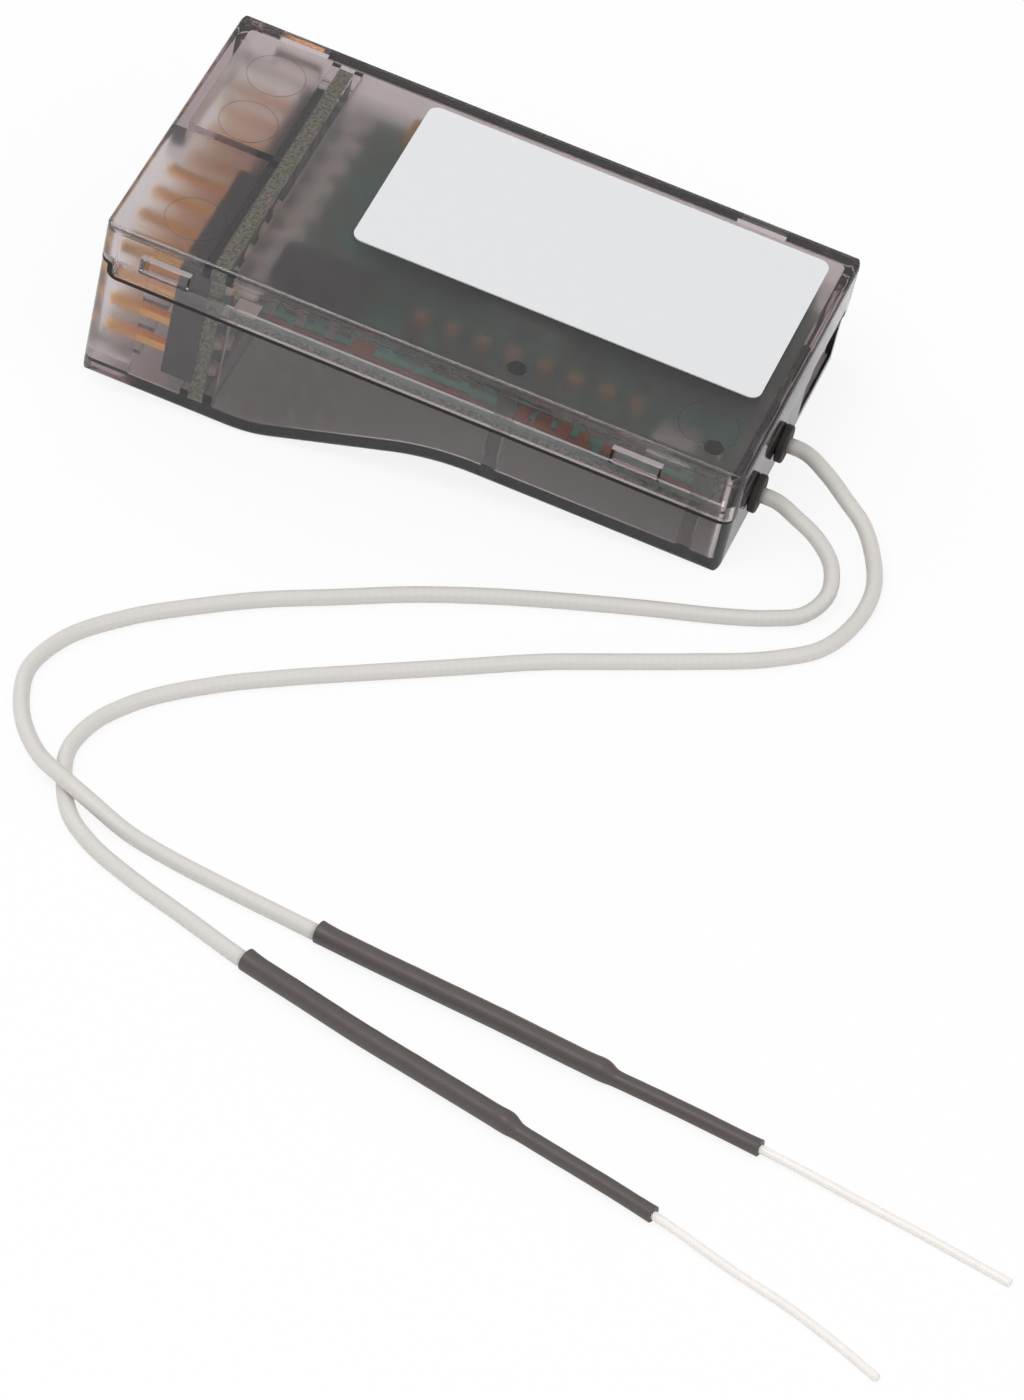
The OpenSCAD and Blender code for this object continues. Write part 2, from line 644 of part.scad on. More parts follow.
// Processor: a flat square body on gull-wing leads
module processor() color(black) at_rest() difference() {
    slab(cpu_x - cpu_w / 2, cpu_x + cpu_w / 2, cpu_y - cpu_w / 2, cpu_y + cpu_w / 2, board_top + 0.1,
        board_top + cpu_h, 0.2);
    translate([cpu_x - cpu_w / 2 + 1, cpu_y - cpu_w / 2 + 1, board_top + cpu_h - 0.1])
        cylinder(h = 1, r = 0.35);
}

// A lead that leaves its body level, bends down and ends flat on the board
module gull_wing(reach, knee, w) translate([0, w / 2, 0]) rotate([90, 0, 0]) linear_extrude(w)
    polygon([[0, knee], [reach * 0.4, knee], [reach * 0.55, 0], [reach, 0], [reach, lead_t],
        [reach * 0.65, lead_t], [reach * 0.5, knee + lead_t], [0, knee + lead_t]]);

module processor_leads() color(tin) at_rest() translate([cpu_x, cpu_y, board_top])
    for (turn = [0 : 90 : 270], i = [0 : cpu_leads - 1]) rotate([0, 0, turn])
        translate([cpu_w / 2, (i - (cpu_leads - 1) / 2) * 0.8, 0]) gull_wing(cpu_reach, 0.6, 0.35);

// Radio shield: a folded fence, and a cover with vent holes that clips over it
module shield_frame() color(tin) at_rest() difference() {
    slab(shield_x0, shield_x1, shield_y0, shield_y1, board_top, board_top + shield_h, 0.4);
    slab(shield_x0 + sheet_t, shield_x1 - sheet_t, shield_y0 + sheet_t, shield_y1 - sheet_t, board_top - 1,
        board_top + shield_h + 1, 0.2);
}

module shield_cover() color(tin) at_rest() difference() {
    slab(shield_x0 - sheet_t, shield_x1 + sheet_t, shield_y0 - sheet_t, shield_y1 + sheet_t, board_top + 0.9,
        board_top + shield_h + sheet_t, 0.6);
    slab(shield_x0, shield_x1, shield_y0, shield_y1, board_top, board_top + shield_h, 0.4);
    for (i = [1 : 4], j = [1 : 3])
        translate([shield_x0 + i * (shield_x1 - shield_x0) / 5, shield_y0 + j * (shield_y1 - shield_y0) / 4,
            board_top]) cylinder(h = shield_h + 1, d = vent_d);
}

// Radio chip in the middle of the shield
module radio_chip() color(black) at_rest()
    translate([(shield_x0 + shield_x1) / 2, (shield_y0 + shield_y1) / 2, 0])
        slab(-radio_w / 2, radio_w / 2, -radio_w / 2, radio_w / 2, board_top, board_top + radio_h, 0.1);

// Crystal: a metal lid on a ceramic tray
module crystal() color(tin) at_rest() {
    slab(crystal_x, crystal_x + crystal_len, crystal_y, crystal_y + crystal_w, board_top,
        board_top + crystal_h / 2, 0.1);
    slab(crystal_x + 0.2, crystal_x + crystal_len - 0.2, crystal_y + 0.2, crystal_y + crystal_w - 0.2,
        board_top + 0.3, board_top + crystal_h, 0.3);
}

// Voltage regulator, with its tab on one side and three leads on the other
module regulator() color(black) at_rest() translate([regulator_x, regulator_y, board_top])
    difference() {
        block([-regulator_len / 2, -regulator_w / 2, 0.05], [regulator_len / 2, regulator_w / 2, regulator_h]);
        for (side = [-1, 1]) translate([-regulator_len, side * regulator_w / 2, regulator_h])
            rotate([45, 0, 0]) cube([2 * regulator_len, 0.4, 0.4]);
    }

module regulator_leads() color(tin) at_rest() translate([regulator_x, regulator_y, board_top]) {
    for (i = [-1, 0, 1]) translate([i * 2.3, -regulator_w / 2, 0]) rotate([0, 0, -90])
        gull_wing(regulator_reach, 0.7, 0.7);
    translate([0, regulator_w / 2, 0]) rotate([0, 0, 90]) gull_wing(regulator_reach, 0.7, 3);
}

// Power inductor: a square ferrite with clipped corners
module inductor() color([0.2, 0.2, 0.21]) at_rest() translate([inductor_x, inductor_y, board_top])
    difference() {
        slab(-inductor_w / 2, inductor_w / 2, -inductor_w / 2, inductor_w / 2, 0, inductor_h, 0.5);
        translate([0, 0, inductor_h - 0.3]) difference() {
            cylinder(h = 1, r = inductor_w / 2 - 0.45);
            translate([0, 0, -1]) cylinder(h = 3, r = inductor_w / 2 - 0.9);
        }
    }

module tantalum_capacitors() color([0.75, 0.55, 0.25]) at_rest() for (x = tantalum_xs)
    slab(x, x + tantalum_len, tantalum_y, tantalum_y + tantalum_w, board_top, board_top + tantalum_h, 0.15);

// Small parts on the main board: a body between two end caps
module chip_bodies(places) for (p = places) translate([p[0], p[1], board_top])
    block([-chip_len / 2 + cap_len, -chip_w / 2, 0.02], [chip_len / 2 - cap_len, chip_w / 2, p[2]]);

module chip_capacitors() color(ceramic_tan) at_rest() chip_bodies(capacitor_places);
module chip_resistors() color(black) at_rest() chip_bodies(resistor_places);
module chip_end_caps() color(tin) at_rest() for (p = concat(capacitor_places, resistor_places), side = [0, 1])
    translate([p[0], p[1], board_top]) mirror([side, 0, 0])
        block([chip_len / 2 - cap_len, -chip_w / 2, 0], [chip_len / 2, chip_w / 2, p[2]]);

// Indicator lamp under the main board: a small block with a domed lens that looks down
module monitor_led() color([0.9, 0.9, 0.8]) at_rest() translate([switch_cx - led_gap, switch_y, board_z]) {
    block([-0.8, -0.6, -0.4], [0.8, 0.6, 0]);
    translate([0, 0, -0.4]) sphere(0.45);
}

// Link switch: a moulded base, a steel cover, a snap dome and the plunger that a finger pushes
module link_switch_base() color(black) at_rest() difference() {
    slab(switch_cx - switch_w / 2, switch_cx + switch_w / 2, switch_y - switch_w / 2, switch_y + switch_w / 2,
        switch_z, board_z, 0.2);
    translate([switch_cx, switch_y, switch_z - 1]) cylinder(h = cavity_h + 1, d = collar_d + 0.2);
}

module link_switch_cover() color(tin) at_rest() difference() {
    block([switch_cx - switch_w / 2, switch_y - switch_w / 2 - sheet_t, switch_z - switch_cover_t],
        [switch_cx + switch_w / 2, switch_y + switch_w / 2 + sheet_t, switch_z + 0.9]);
    block([switch_cx - switch_w, switch_y - switch_w / 2, switch_z],
        [switch_cx + switch_w, switch_y + switch_w / 2, switch_z + 2]);
    translate([switch_cx, switch_y, switch_z - 1]) cylinder(h = 2, d = plunger_d + 0.2);
}

module contact_dome() color(tin) at_rest() translate([switch_cx, switch_y, dome_apex + dome_curve])
    difference() {
        sphere(dome_curve);
        sphere(dome_curve - dome_t);
        translate([0, 0, dome_rise - dome_curve]) cylinder(h = 3 * dome_curve, r = 2 * dome_curve);
    }

module link_plunger() color([0.85, 0.84, 0.8]) at_rest() translate([switch_cx, switch_y, 0]) rotate_extrude()
    polygon([[0, plunger_tip], [plunger_d / 2 - 0.2, plunger_tip], [plunger_d / 2, plunger_tip + 0.2],
        [plunger_d / 2, switch_z + 0.02], [collar_d / 2, switch_z + 0.02], [collar_d / 2, collar_top],
        [0, collar_top]]);

// Voltage socket under the main board, open towards the antenna end
module voltage_socket() color(black) at_rest() difference() {
    block([socket_front - socket_len, port_y - socket_w / 2, socket_z],
        [socket_front, port_y + socket_w / 2, board_z]);
    block([socket_front - socket_len + 1.2, port_y - socket_w / 2 + socket_wall, socket_z + socket_wall],
        [socket_front + 1, port_y + socket_w / 2 - socket_wall, board_z - socket_wall]);
    block([socket_front - 3, port_y - 0.8, socket_z - 1], [socket_front + 1, port_y + 0.8, socket_z + 1]);
    for (y = voltage_pin_ys)
        block([socket_front - socket_len - 1, y - pin_w / 2, voltage_pin_z - pin_w / 2],
            [socket_front, y + pin_w / 2, voltage_pin_z + pin_w / 2]);
}

// Two bent pins: from the socket's mouth, out of its back, and up through the board
module voltage_pins() color(gold) at_rest() for (y = voltage_pin_ys) {
    half = pin_w / 2;
    translate([0, y + half, 0]) rotate([90, 0, 0]) linear_extrude(pin_w)
        polygon([[voltage_leg_x - half, voltage_pin_z - half], [socket_front - 1.2, voltage_pin_z - half],
            [socket_front - 1, voltage_pin_z], [socket_front - 1.2, voltage_pin_z + half],
            [voltage_leg_x + half, voltage_pin_z + half], [voltage_leg_x + half, board_top + 0.6],
            [voltage_leg_x - half, board_top + 0.6]]);
}

// Solder at the inner end of each coaxial cable
module coax_solder() color(tin) at_rest() for (y = [near_grommet_y, far_grommet_y]) difference() {
    translate([coax_end_x - 0.2, y, board_z - 0.3]) sphere(0.75);
    block([0, -case_w, board_z], [case_len, case_w, case_h]);
    translate([coax_end_x, y, grommet_z]) rotate([0, 90, 0]) cylinder(h = 3, r = cable_d / 2 + 0.01);
}

// Rubber grommet: a waist in the wall between two flanges, with the cable's bore
module grommet(y) color([0.2, 0.19, 0.18]) at_rest() translate([grommet_in_x, y, grommet_z]) rotate([0, 90, 0])
    rotate_extrude() {
        long = grommet_out_x - grommet_in_x;
        bore = cable_d / 2 + cable_bore_gap;
        translate([bore, 0]) square([waist_d / 2 - bore, long]);
        for (x = [0, long - flange_t]) {
            translate([bore, x]) square([flange_d / 2 - bore - flange_edge_r, flange_t]);
            translate([bore, x + flange_edge_r]) square([flange_d / 2 - bore, flange_t - 2 * flange_edge_r]);
            for (e = [x + flange_edge_r, x + flange_t - flange_edge_r])
                translate([flange_d / 2 - flange_edge_r, e]) circle(flange_edge_r);
        }
    }

module near_grommet() grommet(near_grommet_y);
module far_grommet() grommet(far_grommet_y);

// Smooth curve through points: each tangent is the mean of its two chords' slopes, weighted by the
// other chord's length
function slope(p, i) = let (last = len(p) - 1)
    i == 0 ? (p[1] - p[0]) / norm(p[1] - p[0]) :
    i == last ? (p[last] - p[last - 1]) / norm(p[last] - p[last - 1]) :
    let (a = norm(p[i] - p[i - 1]), b = norm(p[i + 1] - p[i]))
        ((p[i + 1] - p[i]) / b * a + (p[i] - p[i - 1]) / a * b) / (a + b);

function between(p, i, u) = let (h = norm(p[i + 1] - p[i]))
    p[i] * (2 * pow(u, 3) - 3 * pow(u, 2) + 1) + slope(p, i) * h * (pow(u, 3) - 2 * pow(u, 2) + u)
    + p[i + 1] * (3 * pow(u, 2) - 2 * pow(u, 3)) + slope(p, i + 1) * h * (pow(u, 3) - pow(u, 2));

function smooth(p) = [for (i = [0 : len(p) - 2], k = [0 : steps_per_span - 1])
    between(p, i, k / steps_per_span), p[len(p) - 1]];

// Distance along the curve of each of its points, from the first
function distances(q) = [for (i = 0, run = 0; i < len(q);
    run = run + (i + 1 < len(q) ? norm(q[i + 1] - q[i]) : 0), i = i + 1) run];

// The whole antenna: inner end, grommet, a short straight, then the route; heights are those of the underside
function antenna_path(y, route) = let (under = [0, 0, cable_d / 2])
    concat([rested([coax_end_x, y, grommet_z]) - under, rested([grommet_out_x, y, grommet_z]) - under,
        rested([grommet_out_x + 1, y, grommet_z]) - under], route);

// For each axis, pairs of distance from the grommet and coordinate
function path_table(path) = let (q = smooth(path), d = distances(q), start = d[steps_per_span])
    [for (axis = [0 : 2]) [for (i = [0 : len(q) - 1]) [d[i] - start, q[i][axis]]]];

function spot(table, s) = [lookup(s, table[0]), lookup(s, table[1]), lookup(s, table[2])];

// A tube with a ring at each station, given as distance, radius and extra lift
module tube(table, stations) {
    rings = [for (t = stations) let (
            ahead = spot(table, t[0] + 0.2) - spot(table, t[0] - 0.2), forward = ahead / norm(ahead),
            side = cross(forward, [0, 0, 1]) / norm(cross(forward, [0, 0, 1])), up = cross(side, forward),
            middle = spot(table, t[0]) + [0, 0, t[1] + t[2]])
        for (j = [0 : cord_sides - 1]) let (a = 360 * j / cord_sides)
            middle + t[1] * (cos(a) * side + sin(a) * up)];
    top = len(stations) - 1;
    n = cord_sides;
    polyhedron(rings, concat([[for (j = [n - 1 : -1 : 0]) j]], [[for (j = [0 : n - 1]) top * n + j]],
        [for (i = [0 : top - 1], j = [0 : n - 1]) let (k = (j + 1) % n, a = i * n, b = a + n)
            each [[a + j, a + k, b + k], [a + j, b + k, b + j]]]));
}

near_table = path_table(antenna_path(near_grommet_y, near_route));
far_table = path_table(antenna_path(far_grommet_y, far_route));

// Coaxial cable from its joint on the board, through the grommet and over the floor
module cable(table, free_len) color(coax_grey) {
    spans = round(free_len / (3 * cable_d));
    tube(table, concat([[coax_end_x - grommet_out_x + 0.05, cable_d / 2, 0]],
        [for (i = [0 : spans]) [free_len * i / spans, cable_d / 2, 0]]));
}

// Shrink sleeve, thick over the cable and thin over the inner insulation
module sleeve(table, start) color(black) tube(table, [
    [start, sleeve_d / 2, 0], [start + sleeve_len / 3, sleeve_d / 2, 0],
    [start + 2 * sleeve_len / 3, sleeve_d / 2, 0], [start + sleeve_len - neck_len / 2, sleeve_d / 2, 0],
    [start + sleeve_len + neck_len / 2, sleeve_thin_d / 2, 0],
    [start + sleeve_len + sleeve_thin_len, sleeve_thin_d / 2, 0]]);

// Bare end of the inner conductor, which droops from the sleeve's middle to the floor
module element(table, start) color(tin) tube(table, [for (i = [0 : 3]) let (u = i / 3)
    [start + element_len * u, element_d / 2, (sleeve_thin_d - element_d) / 2 * pow(1 - u, 2)]]);

module near_cable() cable(near_table, near_cable_len);
module far_cable() cable(far_table, far_cable_len);
module near_sleeve() sleeve(near_table, near_cable_len);
module far_sleeve() sleeve(far_table, far_cable_len);
module near_element() element(near_table, near_cable_len + sleeve_len + sleeve_thin_len);
module far_element() element(far_table, far_cable_len + sleeve_len + sleeve_thin_len);

lower_case();
upper_case();
label();
main_board();
upright_board();
servo_header();
bus_header();
signal_pins();
power_pins();
ground_pins();
bus_pins();
pin_solder();
bridge_solder();
processor();
processor_leads();
shield_frame();
shield_cover();
radio_chip();
crystal();
regulator();
regulator_leads();
inductor();
tantalum_capacitors();
chip_capacitors();
chip_resistors();
chip_end_caps();
monitor_led();
link_switch_base();
link_switch_cover();
contact_dome();
link_plunger();
voltage_socket();
voltage_pins();
coax_solder();
near_grommet();
far_grommet();
near_cable();
far_cable();
near_sleeve();
far_sleeve();
near_element();
far_element();
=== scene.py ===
"""A small radio control receiver in a smoked clear case, lying on a pale floor with its two antennas.

The case is dressed as clear smoked styrene over two green boards and their gold pins. Each antenna is a thin grey
coaxial cable, a black shrink sleeve and a bare end of milky white insulation, carried along a route over the floor.
All lengths are in metres, and sizes are written as millimetres times MM.
"""
import json
import logging
import math
from dataclasses import dataclass
from enum import Enum
from typing import Any

import bpy
import numpy as np
from mathutils import Matrix, Quaternion, Vector


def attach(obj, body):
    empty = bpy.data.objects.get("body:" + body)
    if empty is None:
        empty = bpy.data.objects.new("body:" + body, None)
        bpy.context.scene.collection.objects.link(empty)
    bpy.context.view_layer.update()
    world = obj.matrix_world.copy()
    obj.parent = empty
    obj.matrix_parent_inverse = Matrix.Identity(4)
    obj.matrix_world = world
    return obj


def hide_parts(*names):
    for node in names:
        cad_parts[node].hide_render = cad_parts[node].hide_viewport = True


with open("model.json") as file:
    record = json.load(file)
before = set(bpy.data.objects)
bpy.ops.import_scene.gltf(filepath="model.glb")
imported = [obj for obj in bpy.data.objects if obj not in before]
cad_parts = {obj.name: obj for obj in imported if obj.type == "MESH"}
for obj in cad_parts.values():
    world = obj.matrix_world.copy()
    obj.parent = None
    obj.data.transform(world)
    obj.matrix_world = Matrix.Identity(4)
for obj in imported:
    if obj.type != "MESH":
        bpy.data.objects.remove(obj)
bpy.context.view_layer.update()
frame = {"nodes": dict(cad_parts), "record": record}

Points = np.ndarray
log = logging.getLogger("receiver")

MM = 0.001
BODY = "receiver"


class Side(Enum):
    """The two antennas, as the photograph shows them."""

    NEAR = "near"
    FAR = "far"


def linear(hex_colour: str) -> tuple[float, float, float, float]:
    """Turns an sRGB hex colour into Blender's linear colour.

    Args:
        hex_colour: six hex digits with a leading hash.

    Returns:
        Red, green and blue from 0 to 1, and an alpha of 1.
    """
    parts = [int(hex_colour[i:i + 2], 16) / 255 for i in (1, 3, 5)]
    curve = [c / 12.92 if c <= 0.04045 else ((c + 0.055) / 1.055) ** 2.4 for c in parts]
    return curve[0], curve[1], curve[2], 1.0


def add(tree: bpy.types.NodeTree, kind: str, settings: dict[str, Any] | None = None,
        **inputs: Any) -> bpy.types.Node:
    """Adds one shader node, with its settings and its inputs.

    Args:
        tree: the material's node tree.
        kind: the node's type, such as ShaderNodeBsdfPrincipled.
        settings: attributes to set on the node.
        **inputs: socket names with underscores for spaces, or iN for socket number N. A value may be a socket,
            which is linked.

    Returns:
        The new node.
    """
    node = tree.nodes.new(kind)
    for name, value in (settings or {}).items():
        setattr(node, name, value)
    for name, value in inputs.items():
        number = name[1:]
        socket = node.inputs[int(number)] if name[0] == "i" and number.isdigit() else node.inputs[name.replace("_", " ")]
        if isinstance(value, bpy.types.NodeSocket):
            tree.links.new(value, socket)
        else:
            socket.default_value = value
    return node


@dataclass(frozen=True)
class Rest:
    """Where the square case lies: its own axes and origin in the row frame, worked out from the lid's mount.

    Inside the case X runs from the pin end to the antenna end, Y is zero in the middle, and Z runs from the
    foot to the lid.
    """

    label_x: float = 30.35 * MM
    label_y: float = 2.85 * MM
    label_z: float = 14.4 * MM

    @property
    def tilt(self) -> float:
        """The case's tilt about Y, in radians."""
        axis = self._mount()["axis"]
        return math.atan2(axis[0], axis[2])

    @property
    def along(self) -> Points:
        """The case's X axis in the row frame."""
        return np.array([math.cos(self.tilt), 0.0, -math.sin(self.tilt)])

    @property
    def up(self) -> Points:
        """The case's Z axis in the row frame."""
        return np.array([math.sin(self.tilt), 0.0, math.cos(self.tilt)])

    @property
    def origin(self) -> Points:
        """The case's own origin in the row frame."""
        return (np.array(self._mount()["pos_m"]) - self.label_x * self.along
                - self.label_y * np.array([0.0, 1.0, 0.0]) - self.label_z * self.up)

    def place(self, points: Points) -> Points:
        """Moves points from the square case's axes to the row frame.

        Args:
            points: an array whose last axis is x, y and z inside the square case.

        Returns:
            The same points in the row frame.
        """
        p = np.asarray(points, float)
        across = np.array([0.0, 1.0, 0.0])
        return self.origin + p[..., :1] * self.along + p[..., 1:2] * across + p[..., 2:] * self.up

    def _mount(self) -> dict[str, Any]:
        """The record's mount on the label."""
        return next(m for m in frame["record"]["mounts"] if m["name"] == "label_face")


REST = Rest()


def grid_faces(rows: int, columns: int, closed: bool) -> Points:
    """Quads of a grid of points, row after row.

    Args:
        rows: number of rows of points.
        columns: number of points in a row.
        closed: True if each row's last point joins its first.

    Returns:
        One row of four point numbers for each quad.
    """
    i, j = np.meshgrid(np.arange(rows - 1), np.arange(columns if closed else columns - 1), indexing="ij")
    a = (i * columns + j).ravel()
    b = (i * columns + (j + 1) % columns).ravel()
    return np.stack([a, b, b + columns, a + columns], axis=1)


def new_piece(name: str, points: Points, faces: Points | list[list[int]], finish: "Finish", smooth: bool = True,
              body: str = BODY) -> bpy.types.Object:
    """Makes a mesh object of the receiver that rides on a body.

    Args:
        name: the piece's name.
        points: its vertices in the row frame.
        faces: quads as an array, or a list of polygons.
        finish: what it is made of.
        smooth: True for smooth shading.
        body: the body that it rides on.

    Returns:
        The new object.
    """
    mesh = bpy.data.meshes.new(name)
    quads = faces.tolist() if isinstance(faces, np.ndarray) else faces
    mesh.from_pydata(np.asarray(points, float).reshape(-1, 3).tolist(), [], quads)
    mesh.polygons.foreach_set("use_smooth", np.full(len(mesh.polygons), smooth))
    mesh.materials.append(finish.material())
    mesh.update()
    piece = bpy.data.objects.new(name, mesh)
    bpy.context.scene.collection.objects.link(piece)
    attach(piece, body)
    log.info("%s: %d faces", name, len(mesh.polygons))
    return piece


@dataclass(frozen=True)
class Finish:
    """What a surface is made of. Each kind draws its own nodes in shade(). The slot is the record's, or empty; nothing
    in this script reads it.
    """

    name: str
    slot: str

    def material(self) -> bpy.types.Material:
        """The Blender material of this finish, made once.

        Returns:
            The material.
        """
        if self.name in bpy.data.materials:
            return bpy.data.materials[self.name]
        material = bpy.data.materials.new(self.name)
        material.use_nodes = True
        tree = material.node_tree
        tree.nodes.clear()
        output = add(tree, "ShaderNodeOutputMaterial")
        for name, socket in self.shade(tree).items():
            tree.links.new(socket, output.inputs[name])
        return material

    def shade(self, tree: bpy.types.NodeTree) -> dict[str, bpy.types.NodeSocket]:
        """Draws the finish.

        Args:
            tree: the material's empty node tree.

        Returns:
            The sockets for the output's Surface and, where it has one, Volume.
        """
        raise NotImplementedError


def square_coordinates(tree: bpy.types.NodeTree) -> bpy.types.NodeSocket:
    """Object coordinates turned back to the square case's axes and origin, so that patterns lie square on it.

    Args:
        tree: the material's node tree.

    Returns:
        The coordinates, in metres.
    """
    source = add(tree, "ShaderNodeTexCoord")
    start = REST.origin
    back = (-float(start @ REST.along), -float(start[1]), -float(start @ REST.up))
    turned = add(tree, "ShaderNodeMapping", Vector=source.outputs["Object"], Rotation=(0.0, -REST.tilt, 0.0),
                 Location=back)
    return turned.outputs[0]


def math_node(tree: bpy.types.NodeTree, operation: str, *values: Any, clamp: bool = False) -> bpy.types.NodeSocket:
    """One step of arithmetic on sockets and numbers.

    Args:
        tree: the material's node tree.
        operation: the Math node's operation.
        *values: its inputs in order.
        clamp: True to keep the result between 0 and 1.

    Returns:
        The result.
    """
    inputs = {f"i{k}": value for k, value in enumerate(values)}
    return add(tree, "ShaderNodeMath", {"operation": operation, "use_clamp": clamp}, **inputs).outputs[0]


def grain(tree: bpy.types.NodeTree, size: float, strength: float, where: bpy.types.NodeSocket,
          depth: float = 0.01 * MM) -> bpy.types.NodeSocket:
    """A fine uneven surface.

    Args:
        tree: the material's node tree.
        size: width of one grain, in metres.
        strength: how strongly it shows, from 0 to 1.
        where: the coordinates that it reads.
        depth: height of the grain, in metres.

    Returns:
        The bumped normal.
    """
    noise = add(tree, "ShaderNodeTexNoise", Vector=where, Scale=1 / size, Detail=4.0)
    bump = add(tree, "ShaderNodeBump", Strength=strength, Distance=depth, Height=noise.outputs["Fac"])
    return bump.outputs[0]


@dataclass(frozen=True)
class SmokedStyrene(Finish):
    """Clear smoked styrene, injection moulded: glossy outside, slightly hazy, and darker the more of it lies in the way.

    The lid's underside and the insides of the long walls beside the plugs came from a grained mould, so they blur
    what lies well behind them. The mould's ejectors left thin round lines under the lid, and its outer edges along the
    sides are grainy. passed is the colour that light keeps after a layer of the thickness thick, and tint the share
    that it keeps at each surface. ejectors lists their middles, and pegs the middles of the lid's hold-down pegs on
    one side, whose moulded skin is dull too.
    """

    passed: str = "#e6e0e1"
    thick: float = 1.0 * MM
    tint: tuple[float, float, float] = (0.975, 0.962, 0.96)
    haze: float = 0.012
    roughness: float = 0.04
    grained: float = 0.32
    lid_under: float = 13.3 * MM
    wall_inside: float = 11.45 * MM
    grained_length: float = 3.5 * MM
    slot_x: float = 8.5 * MM
    ejector_r: float = 2.1 * MM
    ejectors: tuple[tuple[float, float], ...] = ((4.4, 7.95), (4.5, 2.6), (5.1, -8.35), (43.25, -8.25), (43.25, 8.25))
    pegs: tuple[tuple[float, float], ...] = ((29.8, 10.1), (44.3, 10.1))
    edge_y: float = 12.0 * MM
    edge_z: float = 13.85 * MM
    ior: float = 1.56

    def shade(self, tree: bpy.types.NodeTree) -> dict[str, bpy.types.NodeSocket]:
        """Glass with an absorbing inside, rougher on the grained faces, with lines where the ejectors were."""
        where = square_coordinates(tree)
        axes = add(tree, "ShaderNodeSeparateXYZ", Vector=where).outputs
        across = math_node(tree, "ABSOLUTE", axes["Y"])
        under_lid = math_node(tree, "COMPARE", axes["Z"], self.lid_under, 0.1 * MM)
        off_slot = math_node(tree, "SUBTRACT", 1.0, math_node(tree, "COMPARE", axes["X"], self.slot_x, 1.1 * MM))
        at_plugs = math_node(tree, "MULTIPLY", math_node(tree, "COMPARE", across, self.wall_inside, 0.1 * MM),
                             math_node(tree, "LESS_THAN", axes["X"], self.grained_length))
        on_pegs = math_node(tree, "MULTIPLY", math_node(tree, "LESS_THAN", axes["Z"], self.lid_under - 0.1 * MM),
                            self.around(tree, axes["X"], across, self.pegs, 0.0, 0.85 * MM))
        mask = math_node(tree, "MAXIMUM", math_node(tree, "MULTIPLY", under_lid, off_slot),
                         math_node(tree, "MAXIMUM", at_plugs, on_pegs))
        rough = add(tree, "ShaderNodeMapRange", Value=mask, To_Min=self.roughness, To_Max=self.grained)
        lines = self.around(tree, axes["X"], axes["Y"], self.ejectors, self.ejector_r, 0.05 * MM)
        ring = math_node(tree, "MULTIPLY", under_lid, lines)
        colour = add(tree, "ShaderNodeMix", {"data_type": "RGBA"}, i0=ring, i6=(*self.tint, 1.0),
                     i7=(*[0.55 * c for c in self.tint], 1.0))
        on_edge = math_node(tree, "MULTIPLY", math_node(tree, "GREATER_THAN", across, self.edge_y),
                            math_node(tree, "GREATER_THAN", axes["Z"], self.edge_z))
        noise = add(tree, "ShaderNodeTexNoise", Vector=where, Scale=1 / (0.13 * MM), Detail=2.0)
        relief = add(tree, "ShaderNodeMapRange", Value=on_edge, To_Min=0.1, To_Max=0.7)
        bump = add(tree, "ShaderNodeBump", Strength=relief.outputs[0], Distance=0.01 * MM, Height=noise.outputs["Fac"])
        clear = add(tree, "ShaderNodeBsdfPrincipled", Base_Color=colour.outputs[2], Roughness=rough.outputs[0],
                    IOR=self.ior, Transmission_Weight=1 - self.haze, Normal=bump.outputs[0])
        losses = [-math.log(c) / self.thick for c in linear(self.passed)[:3]]
        density = max(losses) * 1.25
        inside = add(tree, "ShaderNodeVolumeAbsorption", Density=density,
                     Color=(*[1 - loss / density for loss in losses], 1.0))
        return {"Surface": clear.outputs[0], "Volume": inside.outputs[0]}

    def around(self, tree: bpy.types.NodeTree, x: bpy.types.NodeSocket, y: bpy.types.NodeSocket,
               places: tuple[tuple[float, float], ...], radius: float, margin: float) -> bpy.types.NodeSocket:
        """One where a point lies at a radius from one of some places, give or take a margin.

        Args:
            tree: the material's node tree.
            x: the point's way along the case.
            y: the point's way across the case.
            places: the middles, in millimetres.
            radius: the distance, in metres.
            margin: the margin on each side of it.

        Returns:
            The share.
        """
        flat = add(tree, "ShaderNodeCombineXYZ", X=x, Y=y).outputs[0]
        share: Any = 0.0
        for place in places:
            away = add(tree, "ShaderNodeVectorMath", {"operation": "DISTANCE"}, i0=flat,
                       i1=(place[0] * MM, place[1] * MM, 0.0))
            share = math_node(tree, "MAXIMUM", share,
                              math_node(tree, "COMPARE", away.outputs["Value"], radius, margin))
        return share


